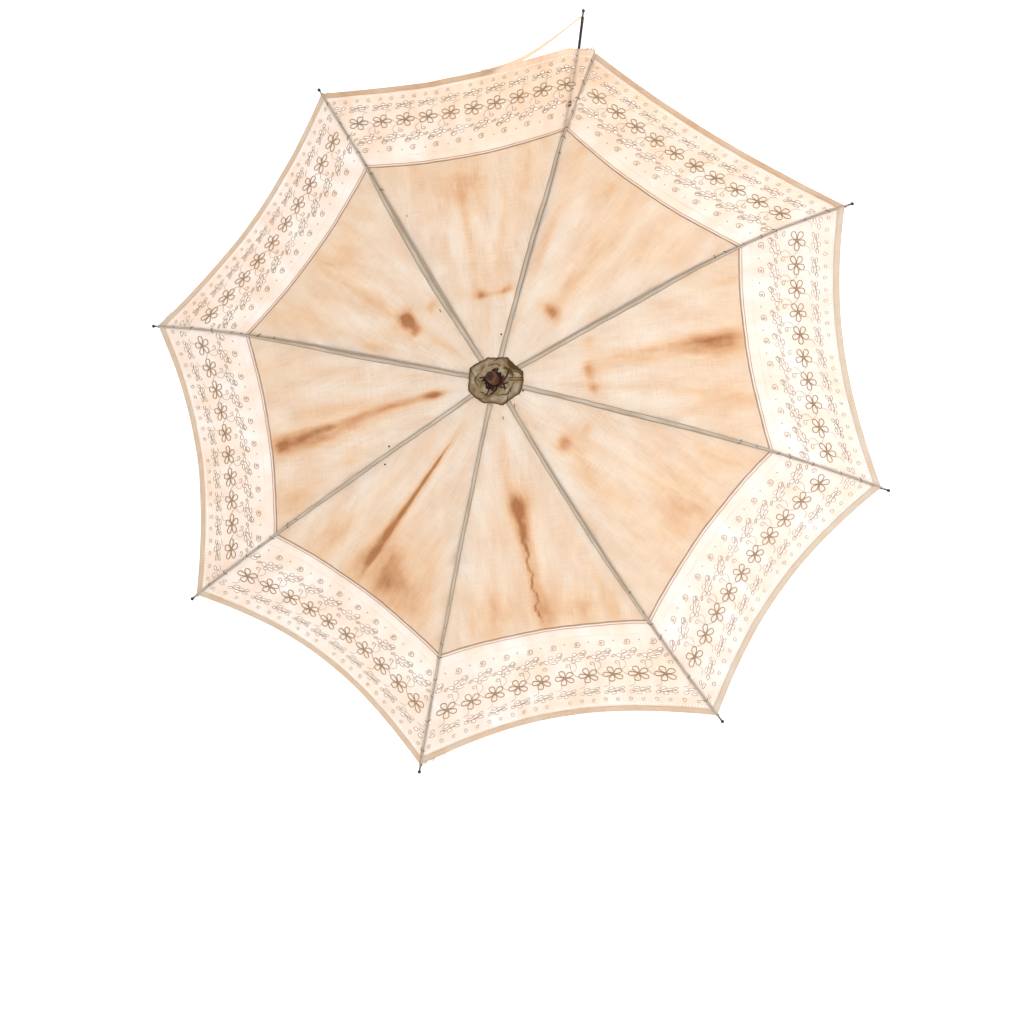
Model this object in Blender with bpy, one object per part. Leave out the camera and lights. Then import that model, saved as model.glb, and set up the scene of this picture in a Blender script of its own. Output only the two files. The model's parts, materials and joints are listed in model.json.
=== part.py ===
"""A lady's lace parasol, standing upright and open.

A wooden stick carries a brass crown notch, a sliding runner with two leaf-spring catches, eight bowed
steel ribs with their stretchers, and a cotton cover of eight gores with eight lace borders.

Metres, +Z up along the stick. The origin is the middle of the hand's grip on the handle.
rib_1 stands on +X and the others follow clockwise, seen from above.
"""
import math

import bmesh
import bpy
import numpy as np
from mathutils import Matrix, Vector

# ---------------------------------------------------------------- driving dimensions
RIBS = 8
CROWN_Z = 0.775                 # height of the ribs' pivots above the grip
PIVOT_RADIUS = 0.009            # ribs and stretchers hinge on wires of this radius
RIB_LENGTH = 0.449              # along the rib, from its pivot to the middle of its tip ball
CROWN_SLOPE = math.radians(7.5)  # the rib's fall where it leaves the crown
SLOPE_GAIN = math.radians(22.0)  # how much steeper it is at the tip
BEND_POWER = 1.3
RIB_STEPS = 12

JOINER_RADIUS = 0.200           # distance of the stretcher's rivet from the stick's axis
JOINER_DROP = 0.042             # and its depth below the crown pivots
# Each rib's own wear: sideways stray of its tip, and how much of the outer bow is left
RIB_STRAY = (0.022, -0.019, -0.009, 0.010, -0.004, -0.003, 0.008, 0.005)
RIB_BOW_LEFT = (-0.2, 0.7, 1.0, 1.0, 1.0, 1.0, 1.0, 1.0)

STICK_RADIUS = 0.0055
RUNNING_GAP = 0.0004
SKIN_GAP = 0.0003
NOTCH_RADIUS = 0.012
NOTCH_TOP = 0.0019
NOTCH_BOTTOM = -0.004
SLOT_WIDTH = 0.0023
TONGUE_THICKNESS = 0.0015
EYE_RADIUS = 0.0009
WIRE_RADIUS = 0.0005

RUNNER_LENGTH = 0.075           # below the stretchers' pivots
RUNNER_WINDOW_TOP = -0.040
RUNNER_WINDOW_BOTTOM = -0.060
SPRING_AZIMUTH = math.radians(-22.5)
SPRING_REACH = 0.0325           # from a catch's pivot to its shoulder
SPRING_NOSE = 0.0082            # how far from the axis its nose stands
FOLD_ANGLE = math.radians(70.0)

HANDLE_TOP = 0.140
HANDLE_BOTTOM = -0.090
STICK_BOTTOM = 0.098
BUTT_BOTTOM = -0.1045

CLOTH = 0.0005                  # thickness of the cover
CLOTH_LIFT = 0.0021             # from the rib's middle line to the cloth's underside
COVER_START = 0.030             # shares of the rib's length
SEAM_SHARE = 0.676
HEM_SHARE = 0.977
SEAM_BOW = 0.034                # share by which the cloth draws in between two ribs at the lace seam
HEM_BOW = (0.026, 0.056, 0.060, 0.074, 0.084, 0.074, 0.066, 0.016)  # and at each gore's worn hem
BOW_POWER = 1.55
COVER_SAG = 0.004
TORN_HEM_SHARE = 0.875          # at rib_1 the cover has slipped off the tip

# ---------------------------------------------------------------- the frame's linkage
JOINER_OUT = JOINER_RADIUS - PIVOT_RADIUS
LINK = math.hypot(JOINER_OUT, JOINER_DROP)
OPEN_ANGLE = math.atan2(JOINER_DROP, JOINER_OUT)
RUNNER_Z = CROWN_Z - 2 * JOINER_DROP
CLOSED_RUNNER_Z = CROWN_Z - 2 * LINK * math.sin(OPEN_ANGLE + FOLD_ANGLE)
JOINER_SHARE = 0.433            # where along the rib the rivet's lug hangs


def clear_scene():
    for obj in list(bpy.data.objects):
        bpy.data.objects.remove(obj)


# ---------------------------------------------------------------- materials
def finish(name, colour, roughness, metallic=0.0):
    material = bpy.data.materials.new(name)
    material.use_nodes = True
    shader = material.node_tree.nodes["Principled BSDF"]
    shader.inputs["Base Color"].default_value = (*colour, 1.0)
    shader.inputs["Roughness"].default_value = roughness
    shader.inputs["Metallic"].default_value = metallic
    return material


# ---------------------------------------------------------------- mesh helpers
def mesh_from(bm, name):
    bmesh.ops.recalc_face_normals(bm, faces=bm.faces)
    mesh = bpy.data.meshes.new(name)
    bm.to_mesh(mesh)
    bm.free()
    return mesh


def box(low, high):
    """A block from its lowest to its highest corner."""
    bm = bmesh.new()
    size = [high[k] - low[k] for k in range(3)]
    middle = [(high[k] + low[k]) / 2 for k in range(3)]
    bmesh.ops.create_cube(bm, size=1.0, matrix=Matrix.Translation(middle) @ Matrix.Diagonal((*size, 1.0)))
    return mesh_from(bm, "block")


def rod(radius, length, centre=(0, 0, 0), axis="Z", sides=8):
    """A straight round bar centred on a point."""
    turn = {"Z": Matrix(), "Y": Matrix.Rotation(math.pi / 2, 4, "X"), "X": Matrix.Rotation(math.pi / 2, 4, "Y")}
    bm = bmesh.new()
    bmesh.ops.create_cone(bm, cap_ends=True, segments=sides, radius1=radius, radius2=radius,
                          depth=length, matrix=Matrix.Translation(centre) @ turn[axis])
    return mesh_from(bm, "rod")


def turned(profile, sides=24):
    """A ring of material: a closed outline of (radius, height) points spun about Z."""
    bm = bmesh.new()
    rings = []
    for k in range(sides):
        angle = 2 * math.pi * k / sides
        rings.append([bm.verts.new((r * math.cos(angle), r * math.sin(angle), z)) for r, z in profile])
    count = len(profile)
    for k in range(sides):
        here, after = rings[k], rings[(k + 1) % sides]
        for j in range(count):
            bm.faces.new((here[j], after[j], after[(j + 1) % count], here[(j + 1) % count]))
    return mesh_from(bm, "turned")


def turned_solid(profile, sides=24):
    """A solid of revolution: (radius, height) points from a bottom centre to a top centre."""
    bm = bmesh.new()
    bottom = bm.verts.new((0, 0, profile[0][1]))
    top = bm.verts.new((0, 0, profile[-1][1]))
    rings = []
    for k in range(sides):
        angle = 2 * math.pi * k / sides
        rings.append([bm.verts.new((r * math.cos(angle), r * math.sin(angle), z)) for r, z in profile[1:-1]])
    for k in range(sides):
        here, after = rings[k], rings[(k + 1) % sides]
        bm.faces.new((bottom, after[0], here[0]))
        bm.faces.new((top, here[-1], after[-1]))
        for j in range(len(here) - 1):
            bm.faces.new((here[j], after[j], after[j + 1], here[j + 1]))
    return mesh_from(bm, "turned_solid")


def plate(outline, thickness):
    """A flat plate: an outline of (x, z) points, given a thickness about the plane y = 0."""
    bm = bmesh.new()
    near = [bm.verts.new((x, -thickness / 2, z)) for x, z in outline]
    face = bm.faces.new(near)
    made = bmesh.ops.extrude_face_region(bm, geom=[face])
    moved = [v for v in made["geom"] if isinstance(v, bmesh.types.BMVert)]
    bmesh.ops.translate(bm, verts=moved, vec=(0, thickness, 0))
    return mesh_from(bm, "plate")


def swept(section, path):
    """A bar: a section of (across, up) points carried along a path that stays near the plane y = 0."""
    bm = bmesh.new()
    rings = []
    for k, point in enumerate(path):
        ahead = path[min(k + 1, len(path) - 1)] - path[max(k - 1, 0)]
        along = ahead.normalized()
        side = Vector((0, 0, 1)).cross(along).normalized()
        up = along.cross(side)
        rings.append([bm.verts.new(point + side * a + up * b) for a, b in section])
    count = len(section)
    for here, after in zip(rings, rings[1:]):
        for j in range(count):
            bm.faces.new((here[j], here[(j + 1) % count], after[(j + 1) % count], after[j]))
    bm.faces.new(rings[0])
    bm.faces.new(rings[-1])
    return mesh_from(bm, "bar")


def moved(mesh, matrix):
    copy = mesh.copy()
    copy.transform(matrix)
    return copy


def joined(base, steps):
    """Joins meshes to a base, or cuts them from it, one after another."""
    current = base
    for operation, tool in steps:
        body = bpy.data.objects.new("body", current)
        other = bpy.data.objects.new("tool", tool)
        for obj in (body, other):
            bpy.context.scene.collection.objects.link(obj)
        cut = body.modifiers.new("cut", "BOOLEAN")
        cut.operation = operation
        cut.solver = "EXACT"
        cut.object = other
        bpy.context.view_layer.update()
        ready = body.evaluated_get(bpy.context.evaluated_depsgraph_get())
        current = bpy.data.meshes.new_from_object(ready)
        for obj in (body, other):
            bpy.data.objects.remove(obj)
    return current


def place(name, mesh, material, matrix=None, smooth=None):
    """Puts a mesh in the scene as a named sub-part."""
    obj = bpy.data.objects.new(name, mesh)
    mesh.name = name
    mesh.materials.clear()
    mesh.materials.append(material)
    if smooth is not None:
        mesh.shade_smooth()
        mesh.set_sharp_from_angle(angle=smooth)
    if matrix is not None:
        obj.matrix_world = matrix
    bpy.context.scene.collection.objects.link(obj)
    return obj


def at_height(z):
    return Matrix.Translation((0, 0, z))


def azimuth(index):
    return -2 * math.pi * index / RIBS


# ---------------------------------------------------------------- the rib's curve
def rib_points(index, last=1.0, steps=RIB_STEPS):
    """Points down a rib's middle line in its own frame: +X outwards, origin on the stick's axis.

    The slope grows from CROWN_SLOPE as a power of the distance gone. Past the stretcher's
    rivet only RIB_BOW_LEFT of the further growth is kept, and the rib bends sideways until
    its tip is RIB_STRAY out of the plane.
    """
    def slope(share):
        bend = CROWN_SLOPE + SLOPE_GAIN * share ** BEND_POWER
        held = CROWN_SLOPE + SLOPE_GAIN * JOINER_SHARE ** BEND_POWER
        return bend if share < JOINER_SHARE else held + RIB_BOW_LEFT[index] * (bend - held)

    x, z = PIVOT_RADIUS, 0.0
    points = [Vector((x, 0, z))]
    step = last / steps
    for k in range(steps):
        middle = slope((k + 0.5) * step)
        x += RIB_LENGTH * step * math.cos(middle)
        z -= RIB_LENGTH * step * math.sin(middle)
        past = max(0.0, ((k + 1) * step - JOINER_SHARE) / (1 - JOINER_SHARE))
        points.append(Vector((x, RIB_STRAY[index] * past ** 2, z)))
    return points


def rib_lookup(index):
    """The rib's curve as a function of the share of its length, in the world's frame."""
    fine = 48
    local = np.array(rib_points(index, 1.0, fine))
    shares = np.linspace(0, 1, fine + 1)
    turn = azimuth(index)
    spin = np.array([[math.cos(turn), -math.sin(turn), 0], [math.sin(turn), math.cos(turn), 0], [0, 0, 1]])
    world = local @ spin.T + np.array([0, 0, CROWN_Z])
    return lambda share: np.array([np.interp(share, shares, world[:, k]) for k in range(3)]).T


# ---------------------------------------------------------------- stick, handle, ferrule
def catch_slot(pivot_z, nose_z):
    """The groove in the stick that takes a leaf-spring catch."""
    low, high = sorted((pivot_z, nose_z))
    cut = box((-0.0015, -0.0016, low - 0.002), (STICK_RADIUS + 0.002, 0.0016, high + 0.0016))
    return moved(cut, Matrix.Rotation(SPRING_AZIMUTH, 4, "Z"))


def make_stick(wood):
    top = CROWN_Z + 0.0095
    stick = moved(rod(STICK_RADIUS, top - STICK_BOTTOM, sides=24), at_height((top + STICK_BOTTOM) / 2))
    cuts = [("DIFFERENCE", catch_slot(TOP_CATCH_Z - SPRING_REACH, TOP_CATCH_Z)),
            ("DIFFERENCE", catch_slot(LOW_CATCH_Z + SPRING_REACH, LOW_CATCH_Z)),
            ("DIFFERENCE", rod(0.0011, 0.03, (0, 0, STOP_Z), "Y"))]
    place("stick", joined(stick, cuts), wood, smooth=math.radians(40))


def make_handle(wood, brass, horn):
    bore = STICK_RADIUS + SKIN_GAP
    outline = [(0.0100, 0.0), (0.0118, 0.004), (0.0122, 0.012), (0.0112, 0.026), (0.0094, 0.048),
               (0.0086, 0.075), (0.0088, 0.105), (0.0096, 0.135), (0.0104, 0.160), (0.0106, 0.180),
               (0.0100, 0.196), (0.0088, 0.204), (0.0104, 0.208), (0.0106, 0.213), (0.0092, 0.218),
               (0.0084, 0.230)]
    floor = STICK_BOTTOM - 0.0005 - HANDLE_BOTTOM
    profile = [(0, 0.0)] + outline + [(bore, 0.230), (bore, floor), (0, floor)]
    place("handle", moved(turned_solid(profile), at_height(HANDLE_BOTTOM)), wood, smooth=math.radians(35))

    collar = [(bore, 0.0), (0.0080, 0.0), (0.0086, 0.001), (0.0086, 0.009), (0.0080, 0.010),
              (0.0076, 0.012), (bore, 0.012)]
    place("handle_collar", moved(turned(collar), at_height(HANDLE_TOP + SKIN_GAP)), brass,
          smooth=math.radians(35))

    depth = HANDLE_BOTTOM - SKIN_GAP - BUTT_BOTTOM
    butt = [(0, 0), (0.0070, 0), (0.0100, 0.0018), (0.0116, 0.0050), (0.0116, 0.0090),
            (0.0098, 0.0125), (0.0094, depth), (0, depth)]
    place("handle_butt", moved(turned_solid(butt), at_height(BUTT_BOTTOM)), horn, smooth=math.radians(35))


def make_ferrule(steel):
    bore = STICK_RADIUS + SKIN_GAP
    profile = [(bore, 0.0022), (0.0065, 0.0022), (0.0065, 0.0043), (0.0088, 0.0043), (0.0090, 0.0050),
               (0.0085, 0.0057), (0.0068, 0.0060), (0.0065, 0.0066), (0.0062, 0.0300), (0.0056, 0.0335),
               (0.0040, 0.0354), (0, 0.0354), (0, 0.0102), (bore, 0.0102)]
    bm = bmesh.new()
    sides = 24
    rings = []
    axis_verts = {j: bm.verts.new((0, 0, profile[j][1])) for j in (11, 12)}
    for k in range(sides):
        angle = 2 * math.pi * k / sides
        ring = [bm.verts.new((r * math.cos(angle), r * math.sin(angle), z)) if r > 0 else axis_verts[j]
                for j, (r, z) in enumerate(profile)]
        rings.append(ring)
    for k in range(sides):
        here, after = rings[k], rings[(k + 1) % sides]
        for j in range(len(profile)):
            following = (j + 1) % len(profile)
            corners = [here[j], after[j], after[following], here[following]]
            corners = [v for n, v in enumerate(corners) if v not in corners[:n]]
            if len(corners) > 2:
                bm.faces.new(corners)
    place("ferrule", moved(mesh_from(bm, "ferrule"), at_height(CROWN_Z)), steel, smooth=math.radians(30))


def make_stop_pin(brass):
    place("stop_pin", rod(0.0008, 0.0146, (0, 0, STOP_Z), "Y"), brass)


# ---------------------------------------------------------------- crown and runner
def slot_cuts(low, high):
    cuts = []
    for k in range(RIBS):
        cut = box((0.0069, -SLOT_WIDTH / 2, low), (0.014, SLOT_WIDTH / 2, high))
        cuts.append(("DIFFERENCE", moved(cut, Matrix.Rotation(azimuth(k), 4, "Z"))))
    return cuts


def make_crown_notch(brass):
    bore = STICK_RADIUS + SKIN_GAP
    groove = 0.00075
    profile = [(bore, NOTCH_BOTTOM), (NOTCH_RADIUS - 0.0005, NOTCH_BOTTOM), (NOTCH_RADIUS, -0.0034),
               (NOTCH_RADIUS, NOTCH_TOP), (PIVOT_RADIUS + groove, NOTCH_TOP),
               (PIVOT_RADIUS + groove, -groove), (PIVOT_RADIUS - groove, -groove),
               (PIVOT_RADIUS - groove, NOTCH_TOP), (bore, NOTCH_TOP)]
    notch = joined(turned(profile), slot_cuts(-0.006, 0.004))
    place("crown_notch", notch, brass, at_height(CROWN_Z), smooth=math.radians(30))


def make_wire(name, height, steel):
    section = [(PIVOT_RADIUS + WIRE_RADIUS * math.cos(a * math.pi / 3), WIRE_RADIUS * math.sin(a * math.pi / 3))
               for a in range(6)]
    place(name, turned(section, 32), steel, at_height(height), smooth=math.radians(60))


def make_runner(brass):
    bore = STICK_RADIUS + RUNNING_GAP
    groove = 0.00075
    foot = -RUNNER_LENGTH
    profile = [(bore, foot), (0.0074, foot), (0.0086, foot + 0.0012), (0.0092, foot + 0.0035),
               (0.0090, foot + 0.0070), (0.0078, foot + 0.0095), (0.0070, foot + 0.0110),
               (0.0070, -0.0065), (0.0078, -0.0048), (0.0105, -0.0036), (NOTCH_RADIUS, -0.0028),
               (NOTCH_RADIUS, 0.0030), (PIVOT_RADIUS + groove, 0.0030), (PIVOT_RADIUS + groove, -groove),
               (PIVOT_RADIUS - groove, -groove), (PIVOT_RADIUS - groove, 0.0030), (bore, 0.0030)]
    window = moved(box((0.004, -0.0025, RUNNER_WINDOW_BOTTOM), (0.012, 0.0025, RUNNER_WINDOW_TOP)),
                   Matrix.Rotation(SPRING_AZIMUTH, 4, "Z"))
    body = joined(turned(profile), slot_cuts(-0.008, 0.005) + [("DIFFERENCE", window)])
    place("runner", body, brass, at_height(RUNNER_Z), smooth=math.radians(30))


# ---------------------------------------------------------------- catches
TOP_CATCH_Z = RUNNER_Z - RUNNER_LENGTH - 0.0004
LOW_CATCH_Z = CLOSED_RUNNER_Z + RUNNER_WINDOW_BOTTOM + 0.0004
STOP_Z = RUNNER_Z + 0.0042


def catch_mesh(direction):
    """A leaf spring bent like a 7: origin at its pivot, its shoulder SPRING_REACH along direction."""
    root, leaf = 0.0026, 0.0007
    reach = SPRING_REACH
    outline = [(root - leaf / 2, 0), (root + leaf / 2, 0), (SPRING_NOSE, reach - 0.0016),
               (SPRING_NOSE, reach), (0.0030, reach), (0.0030, reach - leaf),
               (SPRING_NOSE - 0.0010, reach - leaf)]
    return plate([(x, z * direction) for x, z in outline], 0.0024)


def make_catches(steel):
    for name, height, direction in (("top_catch", TOP_CATCH_Z, 1), ("bottom_catch", LOW_CATCH_Z, -1)):
        pivot = at_height(height - direction * SPRING_REACH)
        place(name, catch_mesh(direction), steel, pivot @ Matrix.Rotation(SPRING_AZIMUTH, 4, "Z"))


# ---------------------------------------------------------------- ribs and stretchers
def round_end(centre, radius, start, stop, steps=6):
    """Points of an arc in the plate's plane, between two angles in degrees."""
    angles = [math.radians(start + (stop - start) * k / steps) for k in range(steps + 1)]
    return [(centre[0] + radius * math.cos(a), centre[1] + radius * math.sin(a)) for a in angles]


def rib_mesh(index):
    """A fluted steel rib with an eye at the crown and a lug for the stretcher's rivet."""
    half, wall, height = 0.0014, 0.0008, 0.0013
    flute = [(-half, height), (half, height), (half, -height), (half - wall, -height),
             (half - wall, height - wall), (wall - half, height - wall), (wall - half, -height),
             (-half, -height)]
    path = rib_points(index, (RIB_LENGTH - 0.0135) / RIB_LENGTH)
    start = path[0] + (path[1] - path[0]).normalized() * 0.0055
    bar = swept(flute, [start] + path[1:])

    along = (math.cos(CROWN_SLOPE), -math.sin(CROWN_SLOPE))
    reach = (PIVOT_RADIUS + 0.0085 * along[0], 0.0085 * along[1])
    tongue = plate(round_end((PIVOT_RADIUS, 0), 0.0016, 82, 262) +
                   [(reach[0], reach[1] - 0.0012), (reach[0], reach[1] + 0.0012)], TONGUE_THICKNESS)

    above = rib_points(index, JOINER_SHARE)[-1]
    joiner = (JOINER_RADIUS, -JOINER_DROP)
    lug = plate(round_end(joiner, 0.0019, 180, 360) + [(above.x + 0.003, above.z + 0.0008),
                                                       (above.x - 0.003, above.z + 0.0008)], 0.0020)
    return joined(bar, [("UNION", tongue), ("UNION", lug),
                        ("DIFFERENCE", rod(EYE_RADIUS, 0.01, (PIVOT_RADIUS, 0, 0), "Y")),
                        ("DIFFERENCE", rod(EYE_RADIUS, 0.01, (joiner[0], 0, joiner[1]), "Y"))])


def make_ribs(steel, black):
    ball, neck, socket = 0.0021, 0.0010, 0.0018
    arc = [(ball * math.cos(math.radians(a)), ball * math.sin(math.radians(a))) for a in range(-50, 90, 30)]
    profile = ([(0, -0.0132), (socket, -0.0132), (socket, -0.0085), (neck, -0.0070), (neck, -0.0022)]
               + arc + [(0, ball)])
    for index in range(RIBS):
        frame = at_height(CROWN_Z) @ Matrix.Rotation(azimuth(index), 4, "Z")
        hinge = frame @ Matrix.Translation((PIVOT_RADIUS, 0, 0))
        mesh = moved(rib_mesh(index), Matrix.Translation((-PIVOT_RADIUS, 0, 0)))
        place(f"rib_{index + 1}", mesh, steel, hinge, smooth=math.radians(40))

        path = rib_points(index)
        outwards = (path[-1] - path[-2]).normalized()
        aim = outwards.to_track_quat("Z", "Y").to_matrix().to_4x4()
        seat = Matrix.Translation(path[-1] - Vector((PIVOT_RADIUS, 0, 0))) @ aim
        tip = moved(turned_solid(profile, 10), seat)
        place(f"rib_tip_{index + 1}", tip, black, hinge, smooth=math.radians(50))


def stretcher_mesh():
    """A stretcher on its rivet: origin on the rivet, the runner's wire LINK away along -X."""
    bar = box((-LINK + 0.0030, -0.0008, -0.0012), (-0.0080, 0.0008, 0.0012))
    steps = []
    for side in (-1, 1):
        cheek = plate(round_end((0, 0), 0.0022, -90, 90) + [(-0.0105, 0.0020), (-0.0105, -0.0020)], 0.0008)
        steps.append(("UNION", moved(cheek, Matrix.Translation((0, side * 0.0017, 0)))))
    yoke = box((-0.0104, -0.0021, -0.0018), (-0.0065, 0.0021, 0.0018))
    tongue = plate(round_end((-LINK, 0), 0.0016, 90, 270) + [(-LINK + 0.0060, -0.0013),
                                                             (-LINK + 0.0060, 0.0013)], TONGUE_THICKNESS)
    steps = [("UNION", yoke)] + steps + [("UNION", tongue), ("UNION", rod(0.0006, 0.0050, (0, 0, 0), "Y"))]
    for side in (-1, 1):
        steps.append(("UNION", rod(0.0011, 0.0006, (0, side * 0.0023, 0), "Y")))
    steps.append(("DIFFERENCE", rod(EYE_RADIUS, 0.01, (-LINK, 0, 0), "Y")))
    return joined(bar, steps)


def make_stretchers(steel):
    shared = stretcher_mesh()
    for index in range(RIBS):
        frame = at_height(CROWN_Z) @ Matrix.Rotation(azimuth(index), 4, "Z")
        rivet = frame @ Matrix.Translation((JOINER_RADIUS, 0, -JOINER_DROP))
        place(f"stretcher_{index + 1}", shared.copy(), steel, rivet @ Matrix.Rotation(-OPEN_ANGLE, 4, "Y"),
              smooth=math.radians(40))


# ---------------------------------------------------------------- the cover
def closed_sheet(grid, thickness):
    """A sheet of cloth as a solid: a grid of points on its underside, thickened upwards."""
    down = np.gradient(grid, axis=0)
    across = np.gradient(grid, axis=1)
    normal = np.cross(across, down)
    normal /= np.linalg.norm(normal, axis=2, keepdims=True)
    normal *= np.sign(normal[:, :, 2:3])
    rows, columns = grid.shape[:2]
    bm = bmesh.new()
    lower = [[bm.verts.new(grid[i, j]) for j in range(columns)] for i in range(rows)]
    upper = [[bm.verts.new(grid[i, j] + normal[i, j] * thickness) for j in range(columns)] for i in range(rows)]
    for layer in (lower, upper):
        for i in range(rows - 1):
            for j in range(columns - 1):
                bm.faces.new((layer[i][j], layer[i + 1][j], layer[i + 1][j + 1], layer[i][j + 1]))
    rim = ([(0, j) for j in range(columns)] + [(i, columns - 1) for i in range(1, rows)]
           + [(rows - 1, j) for j in range(columns - 2, -1, -1)] + [(i, 0) for i in range(rows - 2, 0, -1)])
    for k, (i, j) in enumerate(rim):
        m, n = rim[(k + 1) % len(rim)]
        bm.faces.new((lower[i][j], lower[m][n], upper[m][n], upper[i][j]))
    return mesh_from(bm, "sheet")


def drawn_in(index, share):
    """The share by which a gore's middle draws in towards the crown, at a distance out along the rib."""
    if share <= SEAM_SHARE:
        return SEAM_BOW * (share / SEAM_SHARE) ** BOW_POWER
    return SEAM_BOW + (HEM_BOW[index] - SEAM_BOW) * (share - SEAM_SHARE) / (HEM_SHARE - SEAM_SHARE)


def cover_grid(index, first, last, rows, columns=8):
    """Points of the cover between rib index and the next one.

    Each row is a chord between two ribs. Between them the cloth draws in towards the crown and
    sags a little below the chord, both as a parabola across the gore.
    """
    left, right = rib_lookup(index), rib_lookup((index + 1) % RIBS)
    torn = {0: TORN_HEM_SHARE / HEM_SHARE}
    grid = np.zeros((rows + 1, columns + 1, 3))
    across = np.linspace(0, 1, columns + 1)
    hollow = 4 * across * (1 - across)
    for i in range(rows + 1):
        share = first + (last - first) * i / rows
        drawn = share * (1 - drawn_in(index, share) * hollow)
        worn = [1 - (1 - torn.get(rib, 1.0)) * max(0.0, (share - 0.5) / (HEM_SHARE - 0.5)) ** 3
                for rib in (index, (index + 1) % RIBS)]
        scale = worn[0] * (1 - across) ** 3 + worn[1] * across ** 3
        scale += 1 - (1 - across) ** 3 - across ** 3
        a, b = left(drawn * scale), right(drawn * scale)
        chord = (b - a) / np.linalg.norm(b - a, axis=1, keepdims=True)
        grid[i] = a + (b - a) * across[:, None] + chord * (0.0004 * (1 - 2 * across))[:, None]
        grid[i, :, 2] += CLOTH_LIFT - COVER_SAG * hollow * math.sin(math.pi * min(1.0, share))
    return grid


def make_cover(cotton, lace):
    for index in range(RIBS):
        gore = closed_sheet(cover_grid(index, COVER_START, SEAM_SHARE - 0.0006, 5), CLOTH)
        place(f"gore_{index + 1}", gore, cotton)
        border = closed_sheet(cover_grid(index, SEAM_SHARE + 0.0006, HEM_SHARE, 3), CLOTH)
        place(f"lace_border_{index + 1}", border, lace)


def make_rosette(cloth):
    """The scrap of doubled cloth that closes the cover round the ferrule."""
    fall = math.tan(CROWN_SLOPE)
    inner, outer, thick, base = 0.0070, 0.0270, 0.0010, 0.0029
    under = [(r, base - fall * (r - PIVOT_RADIUS)) for r in (inner, 0.017, outer)]
    profile = under + [(r, z + thick) for r, z in reversed(under)]
    place("rosette", turned(profile, 16), cloth, at_height(CROWN_Z))


def main():
    clear_scene()
    wood = finish("stick_wood", (0.23, 0.12, 0.055), 0.45)
    handle_wood = finish("handle_wood", (0.17, 0.075, 0.032), 0.38)
    horn = finish("dark_horn", (0.05, 0.035, 0.028), 0.30)
    brass = finish("dull_brass", (0.42, 0.31, 0.15), 0.42, 1.0)
    steel = finish("japanned_steel", (0.055, 0.05, 0.048), 0.40, 0.7)
    rusty = finish("rusty_iron", (0.20, 0.085, 0.05), 0.75, 0.4)
    black = finish("black_tip", (0.012, 0.011, 0.011), 0.35)
    cotton = finish("cream_cotton", (0.86, 0.74, 0.60), 0.90)
    lace = finish("eyelet_lace", (0.90, 0.80, 0.74), 0.90)
    greyed = finish("greyed_cotton", (0.42, 0.36, 0.27), 0.92)

    make_stick(wood)
    make_handle(handle_wood, brass, horn)
    make_ferrule(rusty)
    make_stop_pin(brass)
    make_crown_notch(brass)
    make_wire("crown_wire", CROWN_Z, steel)
    make_runner(brass)
    make_wire("runner_wire", RUNNER_Z, steel)
    make_catches(steel)
    make_ribs(steel, black)
    make_stretchers(steel)
    make_cover(cotton, lace)
    make_rosette(greyed)


main()
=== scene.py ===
"""The looks of a lady's old lace parasol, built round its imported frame.

Metres, +Z up along the stick. Rib 1 stands on +X and the others follow clockwise, seen from above.
The cover is worked out as one function of a gore, a share along the ribs and a share across the gore.
"""

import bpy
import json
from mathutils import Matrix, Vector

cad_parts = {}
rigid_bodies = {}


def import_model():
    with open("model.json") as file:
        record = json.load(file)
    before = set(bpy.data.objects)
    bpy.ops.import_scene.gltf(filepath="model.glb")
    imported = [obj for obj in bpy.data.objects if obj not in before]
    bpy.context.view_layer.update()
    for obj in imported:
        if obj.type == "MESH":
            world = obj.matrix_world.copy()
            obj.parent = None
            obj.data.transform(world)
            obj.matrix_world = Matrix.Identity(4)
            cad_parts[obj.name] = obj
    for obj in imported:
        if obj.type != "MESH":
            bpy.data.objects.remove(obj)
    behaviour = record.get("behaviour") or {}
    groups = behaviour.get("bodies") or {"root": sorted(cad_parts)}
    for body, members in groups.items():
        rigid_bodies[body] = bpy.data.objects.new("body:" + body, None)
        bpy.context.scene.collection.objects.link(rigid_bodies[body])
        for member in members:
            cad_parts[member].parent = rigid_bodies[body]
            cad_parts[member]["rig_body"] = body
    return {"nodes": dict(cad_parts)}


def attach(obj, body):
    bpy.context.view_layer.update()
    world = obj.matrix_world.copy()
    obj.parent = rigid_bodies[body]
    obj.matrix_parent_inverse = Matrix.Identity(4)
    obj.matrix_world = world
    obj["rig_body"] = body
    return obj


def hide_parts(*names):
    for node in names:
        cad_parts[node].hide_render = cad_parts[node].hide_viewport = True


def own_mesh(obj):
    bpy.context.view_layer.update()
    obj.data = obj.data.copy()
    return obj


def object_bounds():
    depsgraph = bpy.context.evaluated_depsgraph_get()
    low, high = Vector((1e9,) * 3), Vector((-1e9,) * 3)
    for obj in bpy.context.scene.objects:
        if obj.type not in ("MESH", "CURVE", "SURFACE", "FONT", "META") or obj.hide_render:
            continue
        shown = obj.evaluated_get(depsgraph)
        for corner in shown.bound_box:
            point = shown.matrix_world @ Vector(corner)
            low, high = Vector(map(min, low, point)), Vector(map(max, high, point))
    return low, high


bl_info = {
    "name": "Lace parasol",
    "version": (1, 0, 0),
    "blender": (4, 5, 0),
    "location": "View3D > Sidebar > Parasol",
    "description": "Builds the cloth, lace, trims, metal and wood of an old lace parasol",
    "category": "Object",
}

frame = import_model()

import json
import math

import bmesh
import bpy
import numpy as np
from bpy.props import FloatProperty, FloatVectorProperty, PointerProperty
from mathutils import Matrix
from mathutils.geometry import delaunay_2d_cdt

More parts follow.
